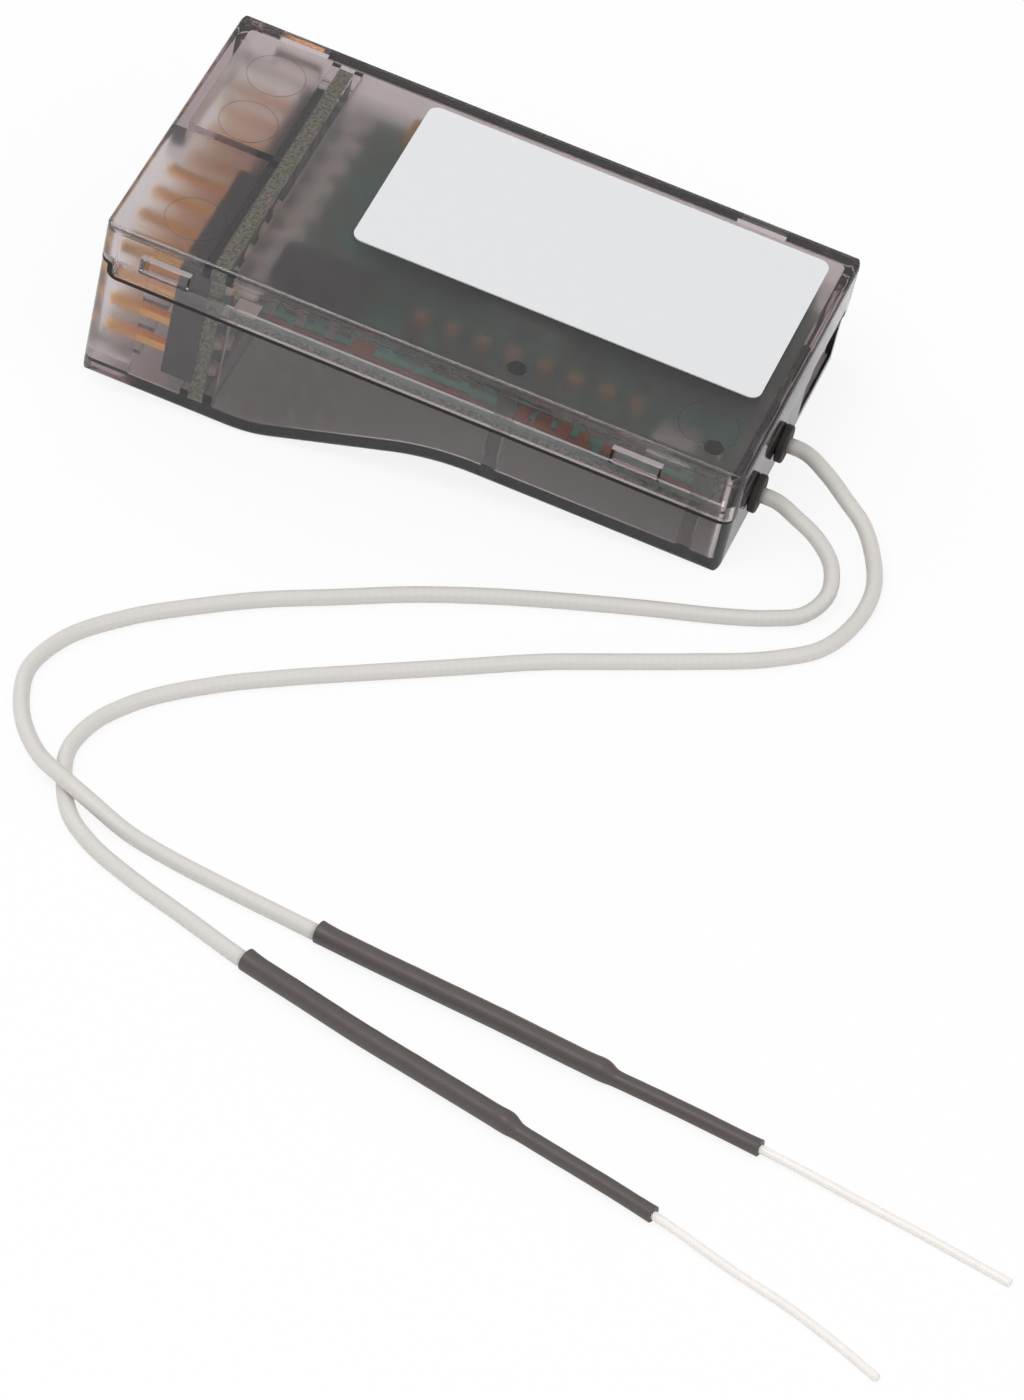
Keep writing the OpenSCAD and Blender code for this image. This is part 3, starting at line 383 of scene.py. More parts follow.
@dataclass(frozen=True)
class Plain(Finish):
    """A moulded, fired or cured surface of one colour: it varies a little in tone and gloss, over a fine grain."""

    colour: str = "#808080"
    roughness: float = 0.5
    grain_size: float = 0.12 * MM
    grain_strength: float = 0.3
    tone: float = 0.12
    soft: float = 0.0
    specular: float = 0.5

    def shade(self, tree: bpy.types.NodeTree) -> dict[str, bpy.types.NodeSocket]:
        """One Principled surface with noise in its tone, its roughness and its normal."""
        where = square_coordinates(tree)
        noise = add(tree, "ShaderNodeTexNoise", Vector=where, Scale=1 / (1.2 * MM), Detail=3.0)
        r, g, b, _ = linear(self.colour)
        low, high = 1 - self.tone, 1 + self.tone
        colour = add(tree, "ShaderNodeMix", {"data_type": "RGBA"}, i0=noise.outputs["Fac"],
                     i6=(r * low, g * low, b * low, 1.0), i7=(min(r * high, 1), min(g * high, 1), min(b * high, 1), 1.0))
        rough = add(tree, "ShaderNodeMapRange", Value=noise.outputs["Fac"], To_Min=self.roughness * 0.85,
                    To_Max=min(self.roughness * 1.15, 1.0))
        body = add(tree, "ShaderNodeBsdfPrincipled", Base_Color=colour.outputs[2], Roughness=rough.outputs[0],
                   Specular_IOR_Level=self.specular, Subsurface_Weight=self.soft,
                   Subsurface_Radius=(0.4 * MM, 0.4 * MM, 0.4 * MM),
                   Normal=grain(tree, self.grain_size, self.grain_strength, where))
        return {"Surface": body.outputs[0]}


@dataclass(frozen=True)
class SolderMask(Finish):
    """A glass-fibre board under green solder mask: tracks show through as paler lines, its cut edges show the mottled
    fibre, and a row of tinned pads lies at pad_x, at the pins' pitch. A negative pad_x leaves them out."""

    mask: str = "#20695a"
    track: str = "#3b8571"
    bare: str = "#4a3322"
    tinned: str = "#ebe7df"
    fibre: str = "#b5aa86"
    fibre_dark: str = "#4b7566"
    track_pitch: float = 1.27 * MM
    patch: float = 3.4 * MM
    pad_x: float = -1.0
    pad_pitch: float = 2.54 * MM
    board_normal: tuple[float, float, float] = (0.0, 0.0, 1.0)

    def shade(self, tree: bpy.types.NodeTree) -> dict[str, bpy.types.NodeSocket]:
        """Mask with tracks and dark patches on the faces that lie along the board, and fibre on its cut edges."""
        where = square_coordinates(tree)
        lots = add(tree, "ShaderNodeTexNoise", Vector=where, Scale=1 / self.patch, Detail=2.0)
        patches = add(tree, "ShaderNodeMapRange", Value=lots.outputs["Fac"], From_Min=0.46, From_Max=0.54)
        ground = add(tree, "ShaderNodeMix", {"data_type": "RGBA"}, i0=patches.outputs[0], i6=linear(self.mask),
                     i7=linear(self.bare)).outputs[2]
        bricks = add(tree, "ShaderNodeTexBrick", {"offset": 0.37, "squash": 0.6, "squash_frequency": 3}, Vector=where,
                     Scale=1 / (self.track_pitch * 4), Mortar_Size=0.06, Color1=ground, Color2=ground,
                     Mortar=linear(self.track), Brick_Width=0.9, Row_Height=0.31)
        axes = add(tree, "ShaderNodeSeparateXYZ", Vector=where).outputs
        in_row = math_node(tree, "COMPARE", axes["X"], self.pad_x, 0.85 * MM)
        on_pitch = math_node(tree, "LESS_THAN", math_node(tree, "PINGPONG", axes["Y"], self.pad_pitch / 2), 0.75 * MM)
        face = add(tree, "ShaderNodeMix", {"data_type": "RGBA"}, i0=math_node(tree, "MULTIPLY", in_row, on_pitch),
                   i6=bricks.outputs["Color"], i7=linear(self.tinned))
        weave = add(tree, "ShaderNodeTexNoise", Vector=where, Scale=1 / (0.24 * MM), Detail=2.0)
        speckle = add(tree, "ShaderNodeMapRange", Value=weave.outputs["Fac"], From_Min=0.4, From_Max=0.6)
        edge = add(tree, "ShaderNodeMix", {"data_type": "RGBA"}, i0=speckle.outputs[0], i6=linear(self.fibre_dark),
                   i7=linear(self.fibre))
        facing = add(tree, "ShaderNodeTexCoord")
        turned = add(tree, "ShaderNodeMapping", {"vector_type": "NORMAL"}, Vector=facing.outputs["Normal"],
                     Rotation=(0.0, -REST.tilt, 0.0))
        along = add(tree, "ShaderNodeVectorMath", {"operation": "DOT_PRODUCT"}, i0=turned.outputs[0],
                    i1=self.board_normal)
        flat = add(tree, "ShaderNodeMath", {"operation": "ABSOLUTE"}, i0=along.outputs["Value"])
        is_face = add(tree, "ShaderNodeMath", {"operation": "GREATER_THAN"}, i0=flat.outputs[0], i1=0.7)
        colour = add(tree, "ShaderNodeMix", {"data_type": "RGBA"}, i0=is_face.outputs[0], i6=edge.outputs[2],
                     i7=face.outputs[2])
        rough = add(tree, "ShaderNodeMapRange", Value=is_face.outputs[0], To_Min=0.75, To_Max=0.32)
        body = add(tree, "ShaderNodeBsdfPrincipled", Base_Color=colour.outputs[2], Roughness=rough.outputs[0],
                   Normal=grain(tree, 0.25 * MM, 0.3, where))
        return {"Surface": body.outputs[0]}


@dataclass(frozen=True)
class Metal(Finish):
    """A plated or tinned metal, slightly uneven in gloss, with a soft grain from plating, drawing or reflow."""

    colour: str = "#c8c8c4"
    roughness: float = 0.3
    grain_size: float = 0.3 * MM
    grain_strength: float = 0.35
    metallic: float = 1.0

    def shade(self, tree: bpy.types.NodeTree) -> dict[str, bpy.types.NodeSocket]:
        """A metal with noise in its roughness and its normal."""
        where = square_coordinates(tree)
        noise = add(tree, "ShaderNodeTexNoise", Vector=where, Scale=1 / (0.8 * MM), Detail=3.0)
        rough = add(tree, "ShaderNodeMapRange", Value=noise.outputs["Fac"], To_Min=self.roughness * 0.7,
                    To_Max=self.roughness * 1.3)
        body = add(tree, "ShaderNodeBsdfPrincipled", Base_Color=linear(self.colour), Metallic=self.metallic,
                   Roughness=rough.outputs[0], Normal=grain(tree, self.grain_size, self.grain_strength, where))
        return {"Surface": body.outputs[0]}


@dataclass(frozen=True)
class Jacket(Finish):
    """Extruded fluoropolymer over a braid: a pale warm grey skin on which the braid's crossing strands show as a
    faint relief. It follows the cable by its UV map, whose U is the distance in metres and V the turn."""

    colour: str = "#d6d2cd"
    shade_colour: str = "#d3cfca"
    strand_pitch: float = 1.1 * MM
    roughness: float = 0.38

    def shade(self, tree: bpy.types.NodeTree) -> dict[str, bpy.types.NodeSocket]:
        """Two crossing helices of strands, as bump and as a slight tone."""
        uv = add(tree, "ShaderNodeUVMap", {"uv_map": "along"})
        axes = add(tree, "ShaderNodeSeparateXYZ", Vector=uv.outputs[0])
        waves = []
        for turns in (4.0, -4.0):
            run = add(tree, "ShaderNodeMath", {"operation": "MULTIPLY"}, i0=axes.outputs["X"],
                      i1=2 * math.pi / self.strand_pitch)
            turn = add(tree, "ShaderNodeMath", {"operation": "MULTIPLY_ADD"}, i0=axes.outputs["Y"],
                       i1=2 * math.pi * turns, i2=run.outputs[0])
            waves.append(add(tree, "ShaderNodeMath", {"operation": "SINE"}, i0=turn.outputs[0]).outputs[0])
        braid = add(tree, "ShaderNodeMath", {"operation": "MULTIPLY"}, i0=waves[0], i1=waves[1])
        height = add(tree, "ShaderNodeMapRange", Value=braid.outputs[0], From_Min=-1.0, From_Max=1.0)
        colour = add(tree, "ShaderNodeMix", {"data_type": "RGBA"}, i0=height.outputs[0],
                     i6=linear(self.shade_colour), i7=linear(self.colour))
        bump = add(tree, "ShaderNodeBump", Strength=0.12, Distance=0.008 * MM, Height=height.outputs[0])
        body = add(tree, "ShaderNodeBsdfPrincipled", Base_Color=colour.outputs[2], Roughness=self.roughness,
                   Normal=bump.outputs[0], Subsurface_Weight=0.15, Subsurface_Radius=(0.3 * MM, 0.3 * MM, 0.3 * MM))
        return {"Surface": body.outputs[0]}


CASE = SmokedStyrene("smoked styrene", "smoked_plastic")
FOIL = Plain("label foil", "label", "#dedfe1", 0.42, 0.2 * MM, 0.12, 0.02)
MAIN_BOARD = SolderMask("main board laminate", "board", pad_x=10.6 * MM)
UPRIGHT_BOARD = SolderMask("upright board laminate", "board", board_normal=(1.0, 0.0, 0.0))
NYLON_BLACK = Plain("black nylon", "black_moulding", "#252326", 0.55)
NYLON_WHITE = Plain("white nylon", "white_moulding", "#dedcd3", 0.45, tone=0.04)
GOLD = Metal("gold plate", "gold_plate", "#f0b765", 0.24)
TIN = Metal("tinned metal", "tin", "#d4d3cf", 0.32)
SOLDER = Metal("reflowed solder", "tin", "#f6f2ea", 0.5, metallic=0.25)
EPOXY = Plain("moulded epoxy", "black_epoxy", "#2c2b2f", 0.6, 0.06 * MM)
FERRITE = Plain("sintered ferrite", "ferrite", "#3b3a3d", 0.7, 0.1 * MM, 0.5)
TANTALUM = Plain("tantalum capacitor epoxy", "tantalum", "#d59a3a", 0.45)
DULL_TIN = Metal("dull tin", "tin", "#8b8984", 0.5)
CERAMIC = Plain("fired ceramic", "ceramic", "#b28a5c", 0.5)
LENS = Plain("milky lens", "lens", "#eeece2", 0.25, tone=0.03)
SPRING = Metal("spring steel", "spring_steel", "#c9c9c9", 0.22)
RUBBER = Plain("moulded rubber", "rubber", "#2f2b2a", 0.62, 0.08 * MM, 0.4)
JACKET = Jacket("fluoropolymer jacket", "coax_jacket")
SHRINK = Plain("polyolefin shrink tube", "shrink_tube", "#524b48", 0.42, 0.18 * MM, 0.5, 0.1)
INSULATION = Plain("milky fluoropolymer insulation", "white_insulation", "#f0ebe6", 0.3, 0.3 * MM, 0.2, 0.03, 0.4)
COPPER = Metal("copper tracks under lacquer", "", "#9c5638", 0.5)
# Painted shade: a near-black band on the tub's face under the lid's edge, standing in for the shade in the gap between
# the mouldings.
GAP_SHADE = Plain("painted shade of the parting gap", "", "#171215", 0.7)

DRESS: dict[str, Finish] = {
    "lower_case": CASE, "upper_case": CASE, "label": FOIL,
    "main_board": MAIN_BOARD, "upright_board": UPRIGHT_BOARD,
    "servo_header": NYLON_BLACK, "bus_header": NYLON_BLACK, "voltage_socket": NYLON_BLACK,
    "signal_pins": GOLD, "power_pins": GOLD, "ground_pins": GOLD, "bus_pins": GOLD, "voltage_pins": GOLD,
    "pin_solder": SOLDER, "bridge_solder": SOLDER, "coax_solder": SOLDER, "processor_leads": TIN, "regulator_leads": DULL_TIN,
    "shield_frame": TIN, "shield_cover": TIN, "crystal": TIN, "chip_end_caps": DULL_TIN, "link_switch_cover": TIN,
    "processor": EPOXY, "radio_chip": EPOXY, "regulator": EPOXY, "chip_resistors": EPOXY,
    "link_switch_base": NYLON_BLACK, "link_plunger": NYLON_WHITE, "contact_dome": SPRING,
    "inductor": FERRITE, "tantalum_capacitors": TANTALUM, "chip_capacitors": CERAMIC, "monitor_led": LENS,
    "near_grommet": RUBBER, "far_grommet": RUBBER,
}


def dress(node: str, finish: Finish) -> None:
    """Gives a CAD node its finish, in all its material slots.

    Args:
        node: the node's name.
        finish: what it is made of.
    """
    piece = frame["nodes"][node]
    slots = piece.material_slots
    if not slots:
        piece.data.materials.append(finish.material())
    for entry in slots:
        entry.link = "OBJECT"
        entry.material = finish.material()


@dataclass(frozen=True)
class Antenna:
    """One antenna: the coaxial cable from its joint on the board over the floor, its sleeve and its bare end.

    route lists points on the floor as x, y and the lift of the cable's underside, after a short straight out of the
    grommet.
    """

    side: Side
    grommet_y: float
    free_length: float
    route: tuple[tuple[float, float, float], ...]
    cable_d: float = 1.13 * MM
    sleeve_d: float = 1.5 * MM
    thin_d: float = 1.12 * MM
    sleeve_length: float = 22 * MM
    thin_length: float = 11 * MM
    wire_d: float = 0.6 * MM
    wire_length: float = 18.5 * MM
    grommet_z: float = 8.5 * MM
    solder_x: float = 41.7 * MM
    mouth_x: float = 47.9 * MM
    span_steps: int = 40

    def knots(self) -> Points:
        """Points of the cable's underside: inner joint, grommet, 1 mm further out, then the route."""
        inside = REST.place([[x, self.grommet_y, self.grommet_z]
                             for x in (self.solder_x, self.mouth_x, self.mouth_x + 1 * MM)])
        return np.concatenate([inside - [0, 0, self.cable_d / 2], np.array(self.route) * MM])

    def underside(self) -> tuple[Points, Points]:
        """The smooth curve through the knots.

        Each tangent is the mean of its two chords' slopes, weighted by the other chord's length, and each span is a
        cubic between its two knots with those tangents, which never dips below the floor.

        Returns:
            Distance from the grommet's mouth, and the points at those distances.
        """
        p = self.knots()
        chord = np.diff(p, axis=0)
        length = np.linalg.norm(chord, axis=1, keepdims=True)
        slope = chord / length
        inner = (slope[1:] * length[:-1] + slope[:-1] * length[1:]) / (length[:-1] + length[1:])
        tangent = np.concatenate([slope[:1], inner, slope[-1:]])
        u = (np.arange(self.span_steps) / self.span_steps)[None, :, None]
        a, b, h = p[:-1, None], p[1:, None], length[:, None]
        spans = (a * (2 * u**3 - 3 * u**2 + 1) + tangent[:-1, None] * h * (u**3 - 2 * u**2 + u)
                 + b * (3 * u**2 - 2 * u**3) + tangent[1:, None] * h * (u**3 - u**2))
        curve = np.concatenate([spans.reshape(-1, 3), p[-1:]])
        curve[:, 2] = np.maximum(curve[:, 2], 0.0)
        run = np.concatenate([[0.0], np.cumsum(np.linalg.norm(np.diff(curve, axis=0), axis=1))])
        return run - run[self.span_steps], curve

    def centres(self, at: Points, rise: Points) -> Points:
        """Centre line at given distances from the grommet.

        Args:
            at: the distances.
            rise: height of the centre over the underside at each.

        Returns:
            The points.
        """
        run, curve = self.underside()
        spots = np.stack([np.interp(at, run, curve[:, k]) for k in range(3)], axis=1)
        spots[:, 2] += rise
        return spots

    def tube(self, name: str, at: Points, radius: Points, rise: Points, finish: Finish,
             sides: int = 24) -> bpy.types.Object:
        """A round section carried along the route: a ring of points stands square to the route at each distance.

        Args:
            name: the piece's name.
            at: distances of the rings.
            radius: radius of each ring.
            rise: height of each ring's centre over the underside.
            finish: what it is made of.
            sides: points in a ring.

        Returns:
            The new piece, closed at both ends.
        """
        middle = self.centres(at, rise)
        step = 0.2 * MM
        ahead = self.centres(at + step, rise) - self.centres(at - step, rise)
        forward = ahead / np.linalg.norm(ahead, axis=1, keepdims=True)
        side = np.cross(forward, [0.0, 0.0, 1.0])
        side /= np.linalg.norm(side, axis=1, keepdims=True)
        up = np.cross(side, forward)
        turn = 2 * np.pi * np.arange(sides) / sides
        around = np.cos(turn)[None, :, None] * side[:, None] + np.sin(turn)[None, :, None] * up[:, None]
        rings = middle[:, None] + radius[:, None, None] * around
        quads = grid_faces(len(at), sides, True)[:, ::-1].tolist()
        last = (len(at) - 1) * sides
        caps = [list(range(sides)), [last + k for k in reversed(range(sides))]]
        piece = new_piece(name, rings, quads + caps, finish)
        for cap in (len(quads), len(quads) + 1):
            piece.data.polygons[cap].use_smooth = False
        self.map_along(piece, at, sides)
        return piece

    def map_along(self, piece: bpy.types.Object, at: Points, sides: int) -> None:
        """Gives a tube a UV map whose U is the distance in metres and V the share of a turn.

        Args:
            piece: the tube, whose vertices are its rings in order.
            at: distances of the rings.
            sides: points in a ring.
        """
        mesh = piece.data
        layer = mesh.uv_layers.new(name="along")
        corners = np.empty(len(mesh.loops), int)
        mesh.loops.foreach_get("vertex_index", corners)
        ring, k = corners // sides, corners % sides
        share = k / sides
        quads = 4 * (len(at) - 1) * sides
        wraps = np.zeros(len(corners), bool)
        wraps[:quads] = np.repeat(share[:quads].reshape(-1, 4).max(axis=1) > 0.5, 4)
        opens = np.zeros(len(corners), bool)
        opens[:quads] = np.repeat(share[:quads].reshape(-1, 4).min(axis=1) < 1e-6, 4)
        share = np.where(wraps & opens & (share < 1e-6), 1.0, share)
        layer.data.foreach_set("uv", np.stack([at[ring], share], axis=1).ravel())

    def build(self) -> None:
        side = self.side.value
        steps = int(self.free_length / (0.5 * MM))
        at = np.linspace(0, self.free_length, steps + 1)
        flat = np.full_like(at, self.cable_d / 2)
        cable = self.tube(f"{side}_coax", at, flat, flat, JACKET)
        inner_at = np.linspace(self.solder_x - self.mouth_x + 0.05 * MM, -0.01 * MM, 20)
        inner_flat = np.full_like(inner_at, self.cable_d / 2)
        inner = self.tube(f"{side}_coax_inside", inner_at, inner_flat, inner_flat, JACKET)
        sleeve = self.sleeve()
        wire = self.bare_end()
        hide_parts(f"{side}_cable")
        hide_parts(f"{side}_cable")
        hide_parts(f"{side}_sleeve")
        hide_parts(f"{side}_element")
        path = self.centres(at, flat)

    def sleeve(self) -> bpy.types.Object:
        """The shrink sleeve: its radius runs along it from a slightly flared square cut, over the cable with a slight
        waviness and a swelling before the soft neck, to the thin part and its square cut."""
        start = self.free_length
        total = self.sleeve_length + self.thin_length
        x = np.concatenate([[0, 0.02 * MM], np.linspace(0.1 * MM, total - 0.1 * MM, 170), [total - 0.02 * MM, total]])
        thick, thin = self.sleeve_d / 2, self.thin_d / 2
        neck = 1 / (1 + np.exp((x - self.sleeve_length) / (0.16 * MM)))
        swelling = 0.03 * MM * np.exp(-((x - self.sleeve_length + 0.7 * MM) / (0.5 * MM)) ** 2)
        flare = 0.05 * MM * np.exp(-x / (0.5 * MM)) + 0.03 * MM * np.exp((x - total) / (0.4 * MM))
        waviness = 0.004 * MM * np.sin(2 * np.pi * x / (6.1 * MM)) * np.sin(2 * np.pi * x / (2.3 * MM) + 1)
        cut = 0.02 * MM * ((x < 0.01 * MM) | (x > total - 0.01 * MM))
        radius = thin + (thick - thin) * neck + swelling + flare + waviness - cut
        return self.tube(f"{self.side.value}_shrink_sleeve", start + x, radius, np.maximum(radius, thin), SHRINK)

    def bare_end(self) -> bpy.types.Object:
        """The bare end: the cable's inner insulation, which droops from the sleeve's middle to the floor, with its
        end rounded a little where it was cut."""
        start = self.free_length + self.sleeve_length + self.thin_length
        u = np.concatenate([np.linspace(0, 0.985, 150), np.linspace(0.987, 1, 8)])
        tip = np.clip((1 - u) * self.wire_length / (0.18 * MM), 0, 1)
        radius = self.wire_d / 2 * (0.6 + 0.4 * np.sqrt(1 - (1 - tip) ** 2))
        rise = self.wire_d / 2 + (self.thin_d - self.wire_d) / 2 * (1 - u) ** 2
        return self.tube(f"{self.side.value}_bare_end", start + self.wire_length * u, radius, rise, INSULATION)


NEAR_ROUTE = (
    (27, -8, 2.6), (29, -9, 2.1), (30.5, -10.5, 1.5), (31, -12.5, 0.8), (30, -14.5, 0.3), (28, -15.5, 0.1),
    (25, -16.5, 0), (19.5, -18, 0), (14.5, -19.5, 0), (10, -21, 0), (5, -23, 0), (0, -25.5, 0), (-4, -27.5, 0),
    (-8, -30, 0), (-12, -33, 0), (-15, -36.5, 0), (-16, -40, 0), (-15, -43.5, 0), (-12, -47.5, 0.4),
    (-9.5, -49.5, 1.2), (-7, -50.5, 0.8), (-4, -51.5, 0.1), (-0.5, -52.5, 0), (4, -53.5, 0), (9, -54.5, 0),
    (14, -55.5, 0), (19.5, -56.5, 0), (25, -57.5, 0), (30, -58.5, 0), (38.5, -60, 0), (43.5, -61, 0),
    (46, -61.5, 0), (50.5, -62.5, 0), (55, -63.5, 0), (59, -64.5, 0), (63, -65.5, 0))
FAR_ROUTE = (
    (27.5, -3, 2.6), (29.5, -4.5, 2.1), (31, -5.5, 1.5), (32.5, -7.5, 0.8), (33.5, -10, 0.3), (33.5, -13, 0),
    (32, -17, 0), (29.5, -19, 0), (24.5, -21.5, 0), (20, -23.5, 0), (15.5, -25.5, 0), (10, -28.5, 0),
    (4.5, -31.5, 0), (0, -34, 0), (-4, -36.5, 0), (-8.5, -40.5, 0), (-10, -43, 0), (-10.5, -46, 0),
    (-9.5, -49, 0), (-8, -51.5, 0), (-5.5, -53.5, 0), (-2.5, -55, 0), (2.5, -57, 0), (7.5, -59, 0),
    (12, -60.5, 0), (16.5, -62, 0), (21.5, -63.5, 0), (26.5, -65, 0), (31.5, -66.5, 0), (36.5, -68, 0),
    (41, -69.5, 0), (45, -71, 0), (49.5, -72.5, 0), (53, -74, 0), (57, -76, 0))


@dataclass(frozen=True)
class Copper:
    """Copper tracks and pads along the main board's near edge, as they show through the case's side.

    plates lists middle x and y, half length, half width, and the power of the outline: 2 is an ellipse, and a
    higher power is squarer. All are millimetres in the square case.
    """

    board_top: float = 9.95 * MM
    height: float = 0.05 * MM
    turns: int = 48
    plates: tuple[tuple[float, float, float, float, float], ...] = (
        (12.2, -10.0, 0.36, 0.36, 2), (20.6, -10.2, 7.9, 0.15, 30), (18.95, -9.55, 0.85, 0.75, 7),
        (22.6, -9.95, 0.14, 0.32, 8), (33.3, -10.25, 3.0, 0.15, 30), (30.95, -9.5, 0.5, 0.62, 9),
        (32.45, -9.5, 0.55, 0.62, 9), (33.95, -9.45, 0.55, 0.6, 9), (35.45, -9.5, 0.45, 0.55, 9),
        (38.3, -9.6, 1.4, 0.55, 9), (43.0, -10.2, 1.5, 0.16, 30), (44.0, -10.0, 0.4, 0.3, 6))

    def plate(self, x: float, y: float, half_x: float, half_y: float, power: float) -> Points:
        """Rings of one plate, from its foot over its rounded edge to its middle.

        A point at the turn t lies at |cos t| and |sin t|, both to the power 2 / power, times the half sizes.
        """
        turn = 2 * np.pi * np.arange(self.turns) / self.turns
        c, s = np.cos(turn), np.sin(turn)
        out_x, out_y = np.sign(c) * np.abs(c) ** (2 / power), np.sign(s) * np.abs(s) ** (2 / power)
        rings = []
        for inset, rise in ((0.0, -0.4), (0.0, 0.4), (0.02, 0.9), (0.05, 1.0), (min(half_x, half_y) * 0.98, 1.0)):
            rings.append(np.stack([(x + (half_x - inset) * out_x) * MM, (y + (half_y - inset) * out_y) * MM,
                                   np.full_like(turn, self.board_top + rise * self.height)], axis=1))
        return np.stack(rings)

    def build(self) -> None:
        """Makes all plates as one piece."""
        plates = np.stack([self.plate(*plate) for plate in self.plates])
        count, rings = plates.shape[:2]
        quads = grid_faces(rings, self.turns, True)
        step = rings * self.turns
        faces = (quads[None] + step * np.arange(count)[:, None, None]).reshape(-1, 4).tolist()
        top = np.arange(self.turns) + step - self.turns
        faces += [(top + step * k).tolist() for k in range(count)]
        new_piece("copper_tracks", REST.place(plates.reshape(-1, 3)), faces, COPPER)


@dataclass(frozen=True)
class PaintedPartingShade:
    """Painted shade along the parting line: a thin near-black band on the tub's face under the lid's proud edge, where
    the two mouldings meet, along both sides and round the antenna end's corners, with the two bends beside each corner
    post. The gap itself holds nothing; the band paints the shade that it shows."""

    seam_z: float = 9.8 * MM
    post_z: float = 11.0 * MM
    post_x: float = 1.1 * MM
    bend_r: float = 0.4 * MM
    half: float = 12.3 * MM
    end_x: float = 47.15 * MM
    corner_r: float = 1.0 * MM
    proud: float = 0.04 * MM
    tall: float = 0.38 * MM

    def line(self) -> tuple[Points, Points]:
        """Points along the near side from the pin end's corner to the antenna end's grommets, and the way out at each.

        On a corner the face lies a quarter circle away from the edge, and along the side it is plain.
        """
        a = np.linspace(0, np.pi / 2, 9)
        r = self.bend_r
        upper = np.stack([self.post_x - r + r * np.sin(a), self.post_z - r + r * np.cos(a)], axis=1)
        lower = np.stack([self.post_x + r - r * np.cos(a), self.seam_z + r - r * np.sin(a)], axis=1)
        start = np.stack([np.linspace(0.06 * MM, self.post_x - r, 8)[:-1], np.full(7, self.post_z)], axis=1)
        xs = np.linspace(self.post_x + r, self.end_x - self.corner_r, 40)[1:]
        side = np.concatenate([start, upper, lower, np.stack([xs, np.full_like(xs, self.seam_z)], axis=1)])
        c = self.corner_r
        lean = np.arccos(np.clip(1 - side[:, 0] / c, 0, 1))
        near = np.stack([side[:, 0], -(self.half - c + c * np.sin(lean)), side[:, 1]], axis=1)
        near_out = np.stack([-np.cos(lean), -np.sin(lean), np.zeros_like(lean)], axis=1)
        turn = a[1:]
        corner = np.stack([self.end_x - c * (1 - np.sin(turn)), -self.half + c * (1 - np.cos(turn)),
                           np.full_like(turn, self.seam_z)], axis=1)
        corner_out = np.stack([np.sin(turn), -np.cos(turn), np.zeros_like(turn)], axis=1)
        ys = np.linspace(-self.half + c, -9.3 * MM, 8)[1:]
        end = np.stack([np.full_like(ys, self.end_x), ys, np.full_like(ys, self.seam_z)], axis=1)
        return np.concatenate([near, corner, end]), np.concatenate([near_out, corner_out,
                                                                   np.tile([1.0, 0.0, 0.0], (len(ys), 1))])

    def band(self, name: str, line: Points, out: Points) -> None:
        """Carries the flat section of the painted shade band along a line: it hangs down from the line and stands
        proud of the face.

        Args:
            name: the piece's name.
            line: points of the upper edge, in the square case.
            out: the way out at each.
        """
        along = np.gradient(line, axis=0)
        along /= np.linalg.norm(along, axis=1, keepdims=True)
        down = np.cross(out, along)
        down *= -np.sign(down[:1, 2:]) * self.tall
        proud = out * self.proud
        rings = np.stack([line, line + proud, line + proud + down, line + down], axis=1)
        faces = grid_faces(len(line), 4, True).tolist()
        last = 4 * (len(line) - 1)
        faces += [[3, 2, 1, 0], [last, last + 1, last + 2, last + 3]]
        new_piece(name, REST.place(rings.reshape(-1, 3)), faces, GAP_SHADE, smooth=False)

    def build(self) -> None:
        """Makes the near side's band of painted shade and its mirror image on the far side."""
        line, out = self.line()
        # Each band is painted shade, a near-black strip where the gap between the mouldings shows only shade.
        self.band("near_painted_parting_shade", line, out)
        mirror = np.array([1.0, -1.0, 1.0])
        self.band("far_painted_parting_shade", (line * mirror)[::-1], (out * mirror)[::-1])


